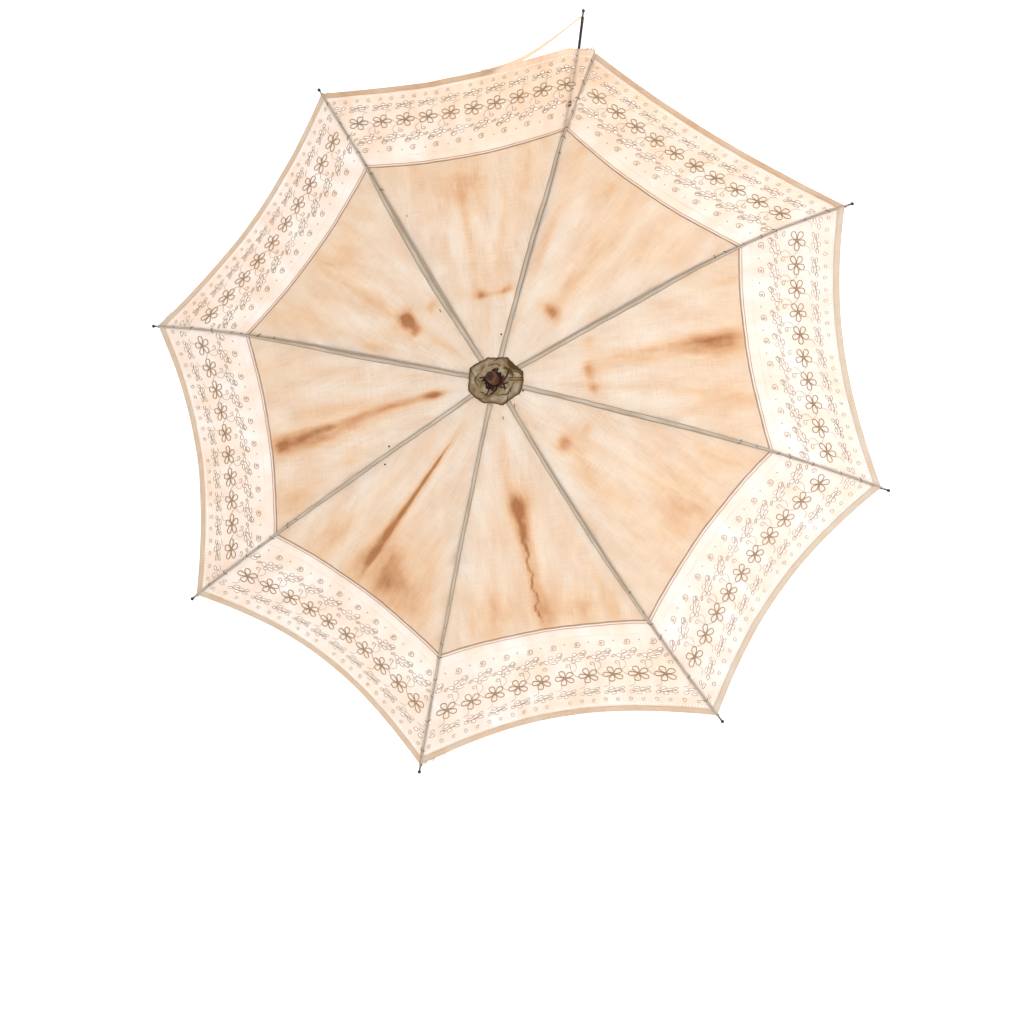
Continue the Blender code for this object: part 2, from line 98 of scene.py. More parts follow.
CAD_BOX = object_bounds()
RIBS = 8
CROWN_Z = 0.775
PIVOT_RADIUS = 0.009
RIB_LENGTH = 0.449
CROWN_SLOPE, SLOPE_GAIN, BEND_POWER = math.radians(7.5), math.radians(22.0), 1.3
JOINER_SHARE = 0.433
RIB_STRAY = (0.022, -0.019, -0.009, 0.010, -0.004, -0.003, 0.008, 0.005)
RIB_BOW_LEFT = (-0.2, 0.7, 1.0, 1.0, 1.0, 1.0, 1.0, 1.0)

COVER_START, SEAM_SHARE, HEM_SHARE = 0.030, 0.676, 0.977
SEAM_BOW, BOW_POWER = 0.034, 1.55
HEM_BOW = (0.026, 0.056, 0.060, 0.074, 0.084, 0.074, 0.066, 0.016)
COVER_LIFT, COVER_SAG = 0.0024, 0.004
CLOTH, STIFF_CLOTH = 0.0003, 0.0004         # thickness of the cover, and of tapes and stiffened cloth
TUBE_SIDES = 4
SLIP_START, SLIP_BACK, SLIP_SIDE, SLIP_RISE = 0.61, 0.092, 0.021, 0.0056
TORN_FLARE = 0.034
SEAM_WIDTH, HEM_WIDTH = 0.2324, 0.3260      # a gore's width at the lace seam and at the hem
BAND = 0.132                                # the lace border's depth
# The seam tapes lie a little beside their ribs: millimetres counter-clockwise, and the wear that widens them
TAPE_ASIDE = (2.5, -3.5, -0.5, -2.5, 0.5, 0.5, 3.5, 5.0)
TAPE_SPREAD = (3.2, 2.0, 3.4, 1.6, 1.2, 1.4, 2.6, 4.6)
# How much each border and its hem have yellowed, gore by gore
LACE_WARMTH = (0.30, 0.03, 0.02, 0.14, 0.10, 0.10, 0.12, 0.42)
HEM_AGE = (0.50, 0.05, 0.04, 0.30, 0.24, 0.24, 0.22, 0.55)
HUB_TURN, VIEW_TILT, VIEW_ROLL = math.radians(67.0), math.radians(11.0), math.radians(143.7)
VIEW_RIGHT, VIEW_UP, VIEW_BACK = 0.0179, -0.1431, 3.045     # the camera's place from the hub, along its own axes
LENS = 98.07                                # millimetres

# Age marks on the gores: gore, share across, share along, half width and half length in mm, strength.
STAINS = (
    (1, .50, .222, 9, 8, .75), (1, .60, .215, 5, 7, .45), (1, .50, .42, 16, 55, .30), (1, .09, .38, 4, 40, .30),
    (1, .80, .55, 20, 30, .22), (1, .30, .60, 26, 22, .20), (1, .52, .30, 8, 30, .22),
    (2, .55, .228, 8, 7, .70), (2, .79, .232, 6, 6, .62), (2, .21, .24, 8, 7, .38), (2, .47, .43, 7, 75, .42),
    (2, .45, .60, 13, 34, .62), (2, .42, .50, 4, 60, .36), (2, .75, .55, 22, 34, .18), (2, .62, .25, 26, 10, .18),
    (3, .64, .222, 9, 8, .85), (3, .33, .248, 7, 5, .48), (3, .71, .32, 6, 14, .34), (3, .66, .42, 10, 45, .30),
    (3, .35, .52, 18, 50, .24), (3, .52, .60, 24, 25, .30), (3, .15, .58, 14, 25, .22), (3, .60, .27, 9, 16, .35),
    (4, .50, .315, 10, 14, .80), (4, .50, .39, 7, 26, .62), (4, .56, .20, 4, 36, .34), (4, .48, .52, 8, 42, .46),
    (4, .42, .62, 22, 20, .40), (4, .72, .60, 24, 24, .32), (4, .25, .62, 18, 16, .28), (4, .50, .34, 20, 30, .26),
    (5, .54, .30, 3.5, 60, .60), (5, .55, .48, 5, 42, .85), (5, .42, .58, 20, 36, .66), (5, .30, .62, 22, 24, .46),
    (5, .58, .60, 9, 30, .60), (5, .20, .50, 14, 40, .22), (5, .80, .58, 14, 30, .20),
    (6, .48, .155, 4, 12, .95), (6, .47, .25, 4, 42, .52), (6, .43, .42, 6, 55, .60), (6, .41, .56, 9, 34, .72),
    (6, .36, .46, 5, 60, .34), (6, .55, .44, 6, 50, .30), (6, .15, .42, 6, 12, .34), (6, .41, .64, 9, 12, .70),
    (6, .10, .60, 16, 24, .22),
    (7, .47, .28, 7, 10, .88), (7, .42, .25, 7, 6, .62), (7, .53, .30, 9, 9, .58), (7, .79, .255, 6, 6, .62),
    (7, .46, .42, 6, 50, .44), (7, .47, .17, 5, 34, .34), (7, .09, .33, 5, 12, .42), (7, .35, .30, 16, 12, .26),
    (7, .60, .60, 26, 24, .26), (7, .20, .55, 22, 30, .18),
    (8, .46, .228, 7, 7, .68), (8, .81, .230, 7, 6, .64), (8, .22, .24, 9, 8, .20), (8, .43, .42, 7, 55, .30),
    (8, .70, .44, 5, 40, .30), (8, .45, .13, 5, 26, .22), (8, .45, .58, 24, 30, .38), (8, .84, .58, 14, 34, .26),
    (8, .62, .31, 14, 30, .16), (8, .63, .224, 20, 3, .30),
)
# Old thread ends and specks on the cloth: gore, share across, share along, length in mm, turn in degrees.
SPECKS = ((8, .82, .103, 1.5, 40), (7, .84, .225, 5.0, 80), (3, .86, .060, 4.2, 60), (3, .16, .055, 1.8, 20),
          (4, .45, .080, 4.6, 85), (6, .06, .300, 2.0, 10), (4, .225, .966, 3.0, 20), (8, .06, .50, 3.6, 70),
          (5, .93, .335, 2.0, 0))
# Frayed threads at four tips: name, gore, share across, half spread, the rib they hang on, how many.
FRAYS = (("rib_5", 3, 0.955, 0.04, 4, 34), ("rib_7", 6, 0.03, 0.03, 6, 26),
         ("rib_1", 7, 0.975, 0.03, 0, 22), ("rib_8", 7, 0.03, 0.03, 7, 16))
# Eyelets of the lace repeat, from its flower: along and out in mm, length, width, turn in degrees.
INNER_SPRIG = ((-7.8, -5.3, 6.4, 2.4, 32), (2.0, -2.8, 4.2, 3.3, 20), (-5.4, .6, 6.6, 2.3, 4),
               (-.6, 5.2, 6.6, 2.3, 2), (8.0, 2.6, 4.8, 3.7, -20), (5.0, 7.4, 4.4, 2.2, 30))
OUTER_SPRIG = ((-9.0, 1.1, 5.2, 2.0, -6), (0, 3.4, 4.4, 2.9, 8), (7.4, 1.7, 4.8, 2.6, 25),
               (-4.0, -2.2, 5.6, 2.2, 20), (2.0, -4.1, 6.0, 2.2, 15), (-10.5, -4.6, 4.0, 1.9, 25))
FLOWER_EYELETS = ((7.6, -7.6, 2.4, 1.8, 40), (-7.2, 8.2, 1.8, 1.5, 0))
INNER_AT, FLOWER_AT, OUTER_AT = (8.8, .335), (0.0, .560), (3.4, .755)
# The two punched rows: share of the band's depth, spacing and radius of the holes in metres.
INNER_ROW, OUTER_ROW = (0.118, 0.0024, 0.00072), (0.912, 0.0030, 0.00095)


# ---------------------------------------------------------------- the cover as a function
def rib_line(index):
    """Shares of a rib's length and its middle line. The slope grows as the share to BEND_POWER; past the
    rivet only the rib's own part of that bow is left, and it strays sideways as the square of the way to go."""
    share = np.linspace(0, 1, 241)
    middle = (share[1:] + share[:-1]) / 2
    slope = CROWN_SLOPE + SLOPE_GAIN * middle ** BEND_POWER
    held = CROWN_SLOPE + SLOPE_GAIN * JOINER_SHARE ** BEND_POWER
    slope = np.where(middle < JOINER_SHARE, slope, held + RIB_BOW_LEFT[index] * (slope - held))
    out = PIVOT_RADIUS + np.append(0, np.cumsum(np.cos(slope))) * RIB_LENGTH / 240
    fall = np.append(0, np.cumsum(np.sin(slope))) * RIB_LENGTH / 240
    aside = RIB_STRAY[index] * np.clip((share - JOINER_SHARE) / (1 - JOINER_SHARE), 0, 1) ** 2
    outward, sideways = directions(index)
    points = outward * out[:, None] + sideways * aside[:, None]
    points[:, 2] = CROWN_Z - fall
    return share, points


def directions(index):
    """Unit vectors outward along rib index and square to it, counter-clockwise seen from above."""
    angle = -math.tau * index / RIBS
    return np.array([math.cos(angle), math.sin(angle), 0]), np.array([-math.sin(angle), math.cos(angle), 0])


RIB_LINES = [rib_line(index) for index in range(RIBS)]


def on_rib(index, share):
    """The rib's middle line at any array of shares, read between its worked-out points."""
    known, points = RIB_LINES[index]
    return np.stack([np.interp(share, known, points[:, axis]) for axis in range(3)], -1)


def cover_line(index, drawn, row):
    """Where the cover lies over a rib: on its middle line, except at rib 1, whose torn seam slips back
    towards the crown and clockwise, as the slip share to the power 1.3."""
    if index:
        return on_rib(index, drawn)
    slip = np.clip((row - SLIP_START) / (HEM_SHARE - SLIP_START), 0, 1.1)
    points = on_rib(0, drawn - SLIP_BACK * slip ** 1.3)
    points[..., 1] -= SLIP_SIDE * slip ** 1.3
    points[..., 2] += SLIP_RISE * slip
    return points


def surface(gore, share, across):
    """The cover's middle: a chord between two ribs at a share drawn in towards the crown as a parabola
    across the gore, sagging below the chord, with small waves that grow as the fourth power to the hem."""
    share, across = np.broadcast_arrays(np.asarray(share, float), np.asarray(across, float))
    hollow = 4 * across * (1 - across)
    past = np.clip((share - SEAM_SHARE) / (HEM_SHARE - SEAM_SHARE), 0, None)
    inner = SEAM_BOW * (np.maximum(share, 0) / SEAM_SHARE) ** BOW_POWER
    bow = np.where(share <= SEAM_SHARE, inner, SEAM_BOW + (HEM_BOW[gore] - SEAM_BOW) * past)
    drawn = share * (1 - bow * hollow)
    if gore == RIBS - 1:
        flare = np.clip((across - 0.4) / 0.5, 0, 1) * (1 - 0.7 * np.clip((across - 0.9) / 0.1, 0, 1))
        drawn = drawn + TORN_FLARE * past * flare
    left, right = cover_line(gore, drawn, share), cover_line((gore + 1) % RIBS, drawn, share)
    points = left + (right - left) * across[..., None]
    reach = np.clip(share, 0, 1)
    waves = np.sin(math.tau * ((2.3 + 0.4 * (gore % 3)) * across + 0.37 * gore) + 3 * share)
    waves = waves + 0.5 * np.sin(math.tau * (5.2 * across + 0.21 * gore) + 9 * share)
    points[..., 2] += (COVER_LIFT - COVER_SAG * hollow * np.sin(math.pi * reach)
                       + bpy.context.scene.parasol_cover.hem_wave * reach ** 4 * hollow * waves)
    return points


def lifted(gore, share, across, lift=0.0):
    """The cover moved along its own upward normal, which is the cross product of its two small steps."""
    share, across = np.broadcast_arrays(np.asarray(share, float), np.asarray(across, float))
    here = surface(gore, share, across)
    normal = np.cross(surface(gore, share, across + 1e-3) - here, surface(gore, share + 1e-3, across) - here)
    normal /= np.linalg.norm(normal, axis=-1, keepdims=True)
    normal *= np.sign(normal[..., 2:])
    return here + normal * np.asarray(lift)[..., None], normal


def gore_width(share):
    """A gore's flat width, in proportion to the distance from the crown."""
    return SEAM_WIDTH * np.asarray(share) / SEAM_SHARE


def on_lace(gore, along, depth, lift=0.0):
    """The lace border's flat pattern on the cover: depth runs from seam to hem, and along is divided by the
    band's width at that depth."""
    part = depth / BAND
    share = SEAM_SHARE + part * (HEM_SHARE - SEAM_SHARE)
    return lifted(gore, share, 0.5 + along / (SEAM_WIDTH + (HEM_WIDTH - SEAM_WIDTH) * part), lift)


# ---------------------------------------------------------------- meshes
def grid_faces(rows, columns, closed=False):
    """Quads between neighbouring rows and columns of a grid; closed joins the last column to the first."""
    row = np.arange(rows - 1)[:, None] * columns
    column = np.arange(columns if closed else columns - 1)[None]
    beside = (column + 1) % columns
    return np.stack([row + column, row + beside, row + columns + beside, row + columns + column], -1).reshape(-1, 4)


def shell(points, normals, faces, thickness):
    """A sheet moved half its thickness out and in along its normals, with a wall round every open edge. The
    last value says which point of the sheet each of the shell's points was made from."""
    count = len(points)
    sides = np.stack([faces, np.roll(faces, -1, axis=1)], -1).reshape(-1, 2)
    bare = ~np.isin(sides[:, 0] * count + sides[:, 1], sides[:, 1] * count + sides[:, 0])
    edge = sides[bare]
    wall = np.stack([edge[:, 1], edge[:, 0], edge[:, 0] + count, edge[:, 1] + count], -1)
    half = thickness / 2
    thick = np.concatenate([points + normals * half, points - normals * half])
    return thick, [faces, faces[:, ::-1] + count], wall, np.tile(np.arange(count), 2)


def joins(wall, away):
    """For each face of a wall 1 along the gore's middle line, and 0 elsewhere."""
    return (np.abs(away)[wall].max(1) < 1e-7).astype(int).tolist()


def upward(points, faces):
    """The faces turned so that, taken together, they look up."""
    a, b, c = (points[faces[:, k]] for k in range(3))
    return faces if np.cross(b - a, c - a)[:, 2].sum() > 0 else faces[:, ::-1]


def outward(points, faces):
    """The faces turned so that the volume they enclose is positive."""
    a, b, c = (points[faces[:, k]] for k in range(3))
    volume = np.einsum("ij,ij->", a - points.mean(0), np.cross(b - points.mean(0), c - points.mean(0)))
    if faces.shape[1] == 4:
        d = points[faces[:, 3]]
        volume += np.einsum("ij,ij->", a - points.mean(0), np.cross(c - points.mean(0), d - points.mean(0)))
    return faces if volume > 0 else faces[:, ::-1]


def crease_rims(mesh, smooth):
    """Marks the edges round each wall sharp, so that the sheet's smooth shading stops at its rim."""
    loops = np.zeros(len(mesh.loops), np.int32)
    mesh.loops.foreach_get("edge_index", loops)
    first_wall = mesh.polygons[smooth].loop_start
    sharp = np.zeros(len(mesh.edges), bool)
    sharp[loops[first_wall:]] = True
    mesh.edges.foreach_set("use_edge_sharp", sharp)


def new_piece(name, points, smooth_faces, materials, flat_faces=None, uv=None, facts=None, material_of=None):
    """A mesh object at the origin from whole arrays of points and faces, with a map and point facts."""
    blocks = [np.asarray(block).tolist() for block in smooth_faces]
    faces = sum(blocks, [])
    smooth = len(faces)
    if flat_faces is not None and len(flat_faces):
        faces = faces + np.asarray(flat_faces).tolist()
    mesh = bpy.data.meshes.new(name)
    mesh.from_pydata(np.asarray(points).tolist(), [], faces)
    mesh.polygons.foreach_set("use_smooth", np.arange(len(faces)) < smooth)
    if smooth < len(faces):
        crease_rims(mesh, smooth)
    corner = np.zeros(len(mesh.loops), np.int32)
    mesh.loops.foreach_get("vertex_index", corner)
    if uv is not None:
        mesh.uv_layers.new(name="Cut").data.foreach_set("uv", np.asarray(uv, np.float32)[corner].ravel())
    for key, values in (facts or {}).items():
        mesh.attributes.new(key, "FLOAT", "POINT").data.foreach_set("value", np.asarray(values, np.float32))
    for material in materials:
        mesh.materials.append(bpy.data.materials[material])
    if material_of is not None:
        mesh.polygons.foreach_set("material_index", np.asarray(material_of, np.int32))
    mesh.update()
    piece = bpy.data.objects.new(name, mesh)
    bpy.context.scene.collection.objects.link(piece)
    return piece


def tubes(paths, normals, radius, closed, flat=0.75):
    """Thread tubes along many paths at once. Each ring stands on the path's normal and its cross product
    with the direction of travel; an open path's ends narrow and are capped."""
    sides = TUBE_SIDES
    paths, normals = np.asarray(paths, float), np.asarray(normals, float)
    number, steps = paths.shape[:2]
    if closed:
        travel = np.roll(paths, -1, axis=1) - np.roll(paths, 1, axis=1)
    else:
        travel = np.gradient(paths, axis=1)
    travel /= np.linalg.norm(travel, axis=-1, keepdims=True) + 1e-12
    beside = np.cross(normals, travel)
    beside /= np.linalg.norm(beside, axis=-1, keepdims=True) + 1e-12
    thick = np.broadcast_to(np.asarray(radius, float).reshape(-1, 1), (number, steps)).copy()
    if not closed:
        thick[:, 0] *= 0.12
        thick[:, -1] *= 0.12
    turn = math.tau * np.arange(sides) / sides + math.pi / sides
    ring = (beside[:, :, None] * np.cos(turn)[None, None, :, None]
            + normals[:, :, None] * (flat * np.sin(turn))[None, None, :, None]) * thick[:, :, None, None]
    points = (paths[:, :, None] + ring).reshape(-1, 3)
    step = np.arange(steps if closed else steps - 1)
    ahead = (step + 1) % steps
    side = np.arange(sides)
    next_side = (side + 1) % sides
    face = np.stack([
        step[:, None] * sides + side, step[:, None] * sides + next_side,
        ahead[:, None] * sides + next_side, ahead[:, None] * sides + side], -1).reshape(-1, 4)
    faces = (np.arange(number)[:, None, None] * steps * sides + face[None]).reshape(-1, 4)
    caps = np.zeros((0, 4), int)
    if not closed:
        start = np.arange(number)[:, None] * steps * sides
        caps = np.concatenate([start + side[::-1], start + (steps - 1) * sides + side])
    return points, np.concatenate([faces, caps])


def merged(parts):
    """Several (points, faces, facts) blocks as one, with the faces' numbers moved on."""
    points, faces, facts, start = [], [], {}, 0
    for block_points, block_faces, block_facts in parts:
        points.append(block_points)
        faces.append(block_faces + start)
        start += len(block_points)
        for key, value in block_facts.items():
            facts.setdefault(key, []).append(np.broadcast_to(value, len(block_points)))
    return np.concatenate(points), np.concatenate(faces), {k: np.concatenate(v) for k, v in facts.items()}


def hang(piece, rib):
    """The piece rides its rib, on a mesh of its own."""
    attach(piece, f"rib_{rib + 1}")
    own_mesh(piece)
    return piece


def halves(gore):
    """The two halves of a gore: a letter, the rib each hangs on, and its shares across."""
    return (("a", gore, 0.0, 0.5), ("b", (gore + 1) % RIBS, 0.5, 1.0))


# ---------------------------------------------------------------- materials
def start_material(name):
    """The empty node tree of a new material."""
    material = bpy.data.materials.new(name)
    material.use_nodes = True
    material.node_tree.nodes.clear()
    return material.node_tree


def node(tree, kind, sockets=None, **settings):
    """One shader node; sockets takes a value or another node's output for each input."""
    made = tree.nodes.new(kind)
    for key, value in settings.items():
        setattr(made, key, value)
    for key, value in (sockets or {}).items():
        if isinstance(value, bpy.types.NodeSocket):
            tree.links.new(value, made.inputs[key])
        else:
            made.inputs[key].default_value = value
    return made


def noise(tree, vector, scale, detail=3.0, roughness=0.55):
    """Cloudy noise, from 0 to 1."""
    return node(tree, "ShaderNodeTexNoise", {"Vector": vector, "Scale": scale, "Detail": detail,
                                             "Roughness": roughness}).outputs["Fac"]


def stretched(tree, vector, scale):
    """A vector multiplied by its own scale on each axis."""
    return node(tree, "ShaderNodeMapping", {"Vector": vector, "Scale": scale}).outputs["Vector"]


def ramp(tree, factor, stops):
    """A colour, or a grey given as one number, read between (place, colour) stops."""
    made = node(tree, "ShaderNodeValToRGB", {"Fac": factor})
    elements = made.color_ramp.elements
    while len(elements) < len(stops):
        elements.new(0.5)
    for element, (place, colour) in zip(elements, stops):
        element.position = place
        element.color = (*colour, 1.0) if hasattr(colour, "__len__") else (colour, colour, colour, 1.0)
    return made.outputs["Color"]


def mixed(tree, factor, first, second, kind="MIX"):
    """Two colours blended by a factor."""
    made = node(tree, "ShaderNodeMix", data_type="RGBA", blend_type=kind)
    for key, value in ((0, factor), (6, first), (7, second)):
        if isinstance(value, bpy.types.NodeSocket):
            tree.links.new(value, made.inputs[key])
        else:
            made.inputs[key].default_value = value if key == 0 else (*value, 1.0)
    return made.outputs[2]


def maths(tree, kind, first, second=0.5, clamp=False):
    """One sum on two values, held between 0 and 1 if clamp is set."""
    return node(tree, "ShaderNodeMath", {0: first, 1: second}, operation=kind, use_clamp=clamp).outputs[0]


def fact(tree, name):
    """A piece's own fact, kept on its points."""
    return node(tree, "ShaderNodeAttribute", attribute_name=name).outputs["Fac"]


def cut_map(tree):
    """The cut's own map in metres."""
    return node(tree, "ShaderNodeUVMap", uv_map="Cut").outputs["UV"]


def own_place(tree):
    """The place on the piece in metres."""
    return node(tree, "ShaderNodeTexCoord").outputs["Object"]


def relief(tree, height, strength, distance):
    """A normal bent by a height."""
    made = node(tree, "ShaderNodeBump", {"Height": height, "Strength": strength, "Distance": distance})
    return made.outputs["Normal"]


def off_middle(tree, value, spread):
    """A value from 0 to 1 taken as its distance from a half, times a spread."""
    return maths(tree, "MULTIPLY", maths(tree, "SUBTRACT", value, 0.5), spread)


def finish_with(tree, body):
    """Joins a shader, or the inputs of a plain one, to the material's surface."""
    if isinstance(body, dict):
        body = node(tree, "ShaderNodeBsdfPrincipled", body)
    node(tree, "ShaderNodeOutputMaterial", {"Surface": body.outputs[0]})


def finish_cloth(name, pale, warm, through, weave=0.00042, slub=0.5, tint=None):
    """Thin aged cotton: pale and warm patches, threads and slubs both ways on the cut's own map in metres,
    stains from the piece's own fact through tan to brown, and part of the light passed through."""
    tree = start_material(name)
    cut = cut_map(tree)
    stain = fact(tree, "stain")
    patch = noise(tree, stretched(tree, cut, (46, 13, 1)), 1.0, 4)
    colour = mixed(tree, ramp(tree, patch, ((0.36, 0.0), (0.64, 1.0))), pale, warm)
    weft = noise(tree, stretched(tree, cut, (40, 1150, 1)), 1.0, 3, 0.62)
    warp = noise(tree, stretched(tree, cut, (1150, 40, 1)), 1.0, 3, 0.62)
    slubs = maths(tree, "MULTIPLY", maths(tree, "ADD", weft, warp), 0.5)
    colour = mixed(tree, slub, colour, ramp(tree, slubs, ((0.38, 0.80), (0.5, 0.94), (0.60, 1.0))), "MULTIPLY")
    ragged = maths(tree, "MULTIPLY", noise(tree, stretched(tree, cut, (110, 48, 1)), 1.0, 4, 0.5), 0.8)
    depth = maths(tree, "MULTIPLY", stain, maths(tree, "ADD", ragged, 0.45), True)
    stained = ramp(tree, depth, ((0.0, (1.0, 1.0, 1.0)), (0.34, (0.985, 0.895, 0.785)),
                                 (0.66, (0.90, 0.71, 0.53)), (1.0, (0.68, 0.43, 0.25))))
    colour = mixed(tree, 1.0, colour, stained, "MULTIPLY")
    if tint:
        colour = mixed(tree, fact(tree, "edge"), colour, tint, "MULTIPLY")
    bands = [node(tree, "ShaderNodeTexWave", {"Vector": cut, "Scale": 0.5 / weave, "Distortion": 0.6,
                                             "Detail": 1.0}, bands_direction=way).outputs["Fac"] for way in "XY"]
    height = maths(tree, "ADD", maths(tree, "MULTIPLY", bands[0], bands[1]), slubs)
    bump = relief(tree, height, 0.35, 0.0004)
    body = node(tree, "ShaderNodeBsdfPrincipled", {"Base Color": colour, "Roughness": 0.86, "Normal": bump,
                                                   "Specular IOR Level": 0.2, "Sheen Weight": 0.25,
                                                   "Sheen Roughness": 0.5})
    glow = node(tree, "ShaderNodeBsdfTranslucent", {"Color": colour, "Normal": bump})
    finish_with(tree, node(tree, "ShaderNodeMixShader", {0: through, 1: body.outputs[0], 2: glow.outputs[0]}))


def finish_thread(name, light, dark, twist=900):
    """Cotton thread: its tone runs from light to dark by the stitch's own fact, crossed by fine ply lines."""
    tree = start_material(name)
    place = own_place(tree)
    tone = maths(tree, "ADD", fact(tree, "tone"), maths(tree, "MULTIPLY", noise(tree, place, 90, 3), 0.35), True)
    colour = mixed(tree, maths(tree, "SUBTRACT", tone, 0.17, True), light, dark)
    ply = node(tree, "ShaderNodeTexWave", {"Vector": place, "Scale": twist, "Distortion": 2.0}).outputs["Fac"]
    colour = mixed(tree, 0.35, colour, ramp(tree, ply, ((0.2, 0.72), (0.8, 1.0))), "MULTIPLY")
    finish_with(tree, {"Base Color": colour, "Roughness": 0.7, "Normal": relief(tree, ply, 0.4, 0.0002),
                       "Specular IOR Level": 0.3})


def finish_tape(name):
    """A worn seam tape: greyed cotton that is partly a painted shadow of the rib beneath, a slate line along one side
    that is a painted shadow of the rib, and a tan line along the other for the seam, both read from the piece's own
    share across, with ribbed weave and rubbed patches."""
    tree = start_material(name)
    cut = cut_map(tree)
    rubbed = noise(tree, stretched(tree, cut, (120, 26, 1)), 1.0, 4)
    worn = ramp(tree, rubbed, ((0.35, 0.0), (0.65, 1.0)))
    colour = mixed(tree, worn, (0.74, 0.62, 0.50), (0.55, 0.435, 0.325))
    side = maths(tree, "ADD", fact(tree, "side"), off_middle(tree, rubbed, 0.16))
    # The slate line is a painted shadow of the rib under the cloth; the tan line is the seam itself.
    painted_rib_shadow = ramp(tree, side, ((0.0, 0.9), (0.08, 0.9), (0.20, 0.0)))
    tan_line = ramp(tree, side, ((0.62, 0.0), (0.92, 1.0), (1.0, 1.0)))
    colour = mixed(tree, painted_rib_shadow, colour, (0.30, 0.255, 0.205))
    colour = mixed(tree, tan_line, colour, (0.44, 0.31, 0.19))
    ribs = node(tree, "ShaderNodeTexWave", {"Vector": cut, "Scale": 700.0, "Distortion": 1.0},
                bands_direction="Y").outputs["Fac"]
    finish_with(tree, {"Base Color": colour, "Roughness": 0.82, "Normal": relief(tree, ribs, 0.4, 0.0003),
                       "Specular IOR Level": 0.2})


def finish_rosette(name):
    """Stiffened cloth gone grey and olive: brown along its raw edges, with painted shade in its fold valleys and a
    dark ring round the ferrule hole that is partly rust stain and partly painted shadow, all from the piece's own
    fact.
    """
    tree = start_material(name)
    place = own_place(tree)
    patch = noise(tree, place, 95, 5, 0.6)
    colour = ramp(tree, patch, ((0.34, (0.24, 0.145, 0.062)), (0.50, (0.37, 0.27, 0.165)),
                                (0.66, (0.52, 0.43, 0.32))))
    # The edge fact browns the raw edges and paints shade in the fold valleys and round the ferrule hole.
    edge = maths(tree, "ADD", fact(tree, "edge"), off_middle(tree, patch, 0.7), True)
    colour = mixed(tree, ramp(tree, edge, ((0.35, 0.0), (0.8, 1.0))), colour, (0.095, 0.055, 0.014))
    fine = noise(tree, place, 1500, 3)
    finish_with(tree, {"Base Color": colour, "Roughness": 0.9, "Normal": relief(tree, fine, 0.5, 0.0004),
                       "Specular IOR Level": 0.2})


def finish_hard(name, stops, roughness, metallic=0.0, stretch=(1, 1, 1), scale=60.0, coat=0.0, depth=0.0002):
    """Wood, horn or metal: colours from a stretched noise, a second fine noise that wears the gloss, and
    low relief. Roughness runs between its two values."""
    tree = start_material(name)
    place = stretched(tree, own_place(tree), stretch)
    broad, fine = noise(tree, place, scale, 5, 0.6), noise(tree, place, scale * 7, 4, 0.65)
    figure = maths(tree, "ADD", maths(tree, "MULTIPLY", broad, 0.7), maths(tree, "MULTIPLY", fine, 0.3))
    colour = ramp(tree, figure, stops)
    gloss = node(tree, "ShaderNodeMapRange", {"Value": fine, 1: 0.3, 2: 0.7, 3: roughness[0], 4: roughness[1]})
    finish_with(tree, {"Base Color": colour, "Roughness": gloss.outputs[0], "Metallic": metallic,
                       "Normal": relief(tree, figure, 0.5, depth), "Coat Weight": coat})


def finish_ferrule(name):
    """Rusted iron in rings about the stick: a black pit at the top, a tan crescent round it that is a painted
    highlight on its lit side, and a black rim that is a painted shadow. The distance from the axis, pushed to one
    side, reads the rings, so that the painted light and shade fall to one side; noise breaks them up."""
    tree = start_material(name)
    place = own_place(tree)
    # Pushing the rings to one side puts the painted highlight and the painted shadow on one side of the ferrule.
    flat = node(tree, "ShaderNodeMapping", {"Vector": place, "Location": (0.0006, -0.0004, 0), "Scale": (1, 1, 0)})
    away = node(tree, "ShaderNodeVectorMath", {0: flat.outputs["Vector"]}, operation="LENGTH").outputs["Value"]
    grain = noise(tree, place, 420, 5, 0.65)
    rings = maths(tree, "ADD", maths(tree, "MULTIPLY", away, 100.0), off_middle(tree, grain, 0.22))
    # The tan ring at 0.50 is a painted highlight on the lit side; the black ring at 0.74 is a painted shadow rim.
    colour = ramp(tree, rings, ((0.10, (0.010, 0.006, 0.005)), (0.24, (0.10, 0.032, 0.014)),
                                (0.38, (0.020, 0.009, 0.006)), (0.50, (0.17, 0.075, 0.030)),
                                (0.62, (0.13, 0.045, 0.018)), (0.74, (0.020, 0.008, 0.005))))
    finish_with(tree, {"Base Color": colour, "Roughness": 0.85, "Metallic": 0.15,
                       "Normal": relief(tree, grain, 0.6, 0.0006)})


def numbered(name):
    """The names of a piece that every rib has one of."""
    return tuple(f"{name}_{number}" for number in range(1, RIBS + 1))


# The finish of each hard part: the material slot and the frame's own nodes.
HARD_PARTS = {
    "stick": ("stick_wood", ("stick",)),
    "grip": ("handle_wood", ("handle",)),
    "horn": ("dark_horn", ("handle_butt",)),
    "brass": ("dull_brass", ("handle_collar", "runner", "crown_notch", "stop_pin")),
    "steel": ("japanned_steel", ("crown_wire", "runner_wire", "top_catch", "bottom_catch")
              + numbered("rib") + numbered("stretcher")),
    "rust_and_painted_light": ("rusty_iron", ("ferrule",)),
    "tip": ("black_tip", numbered("rib_tip")),
}


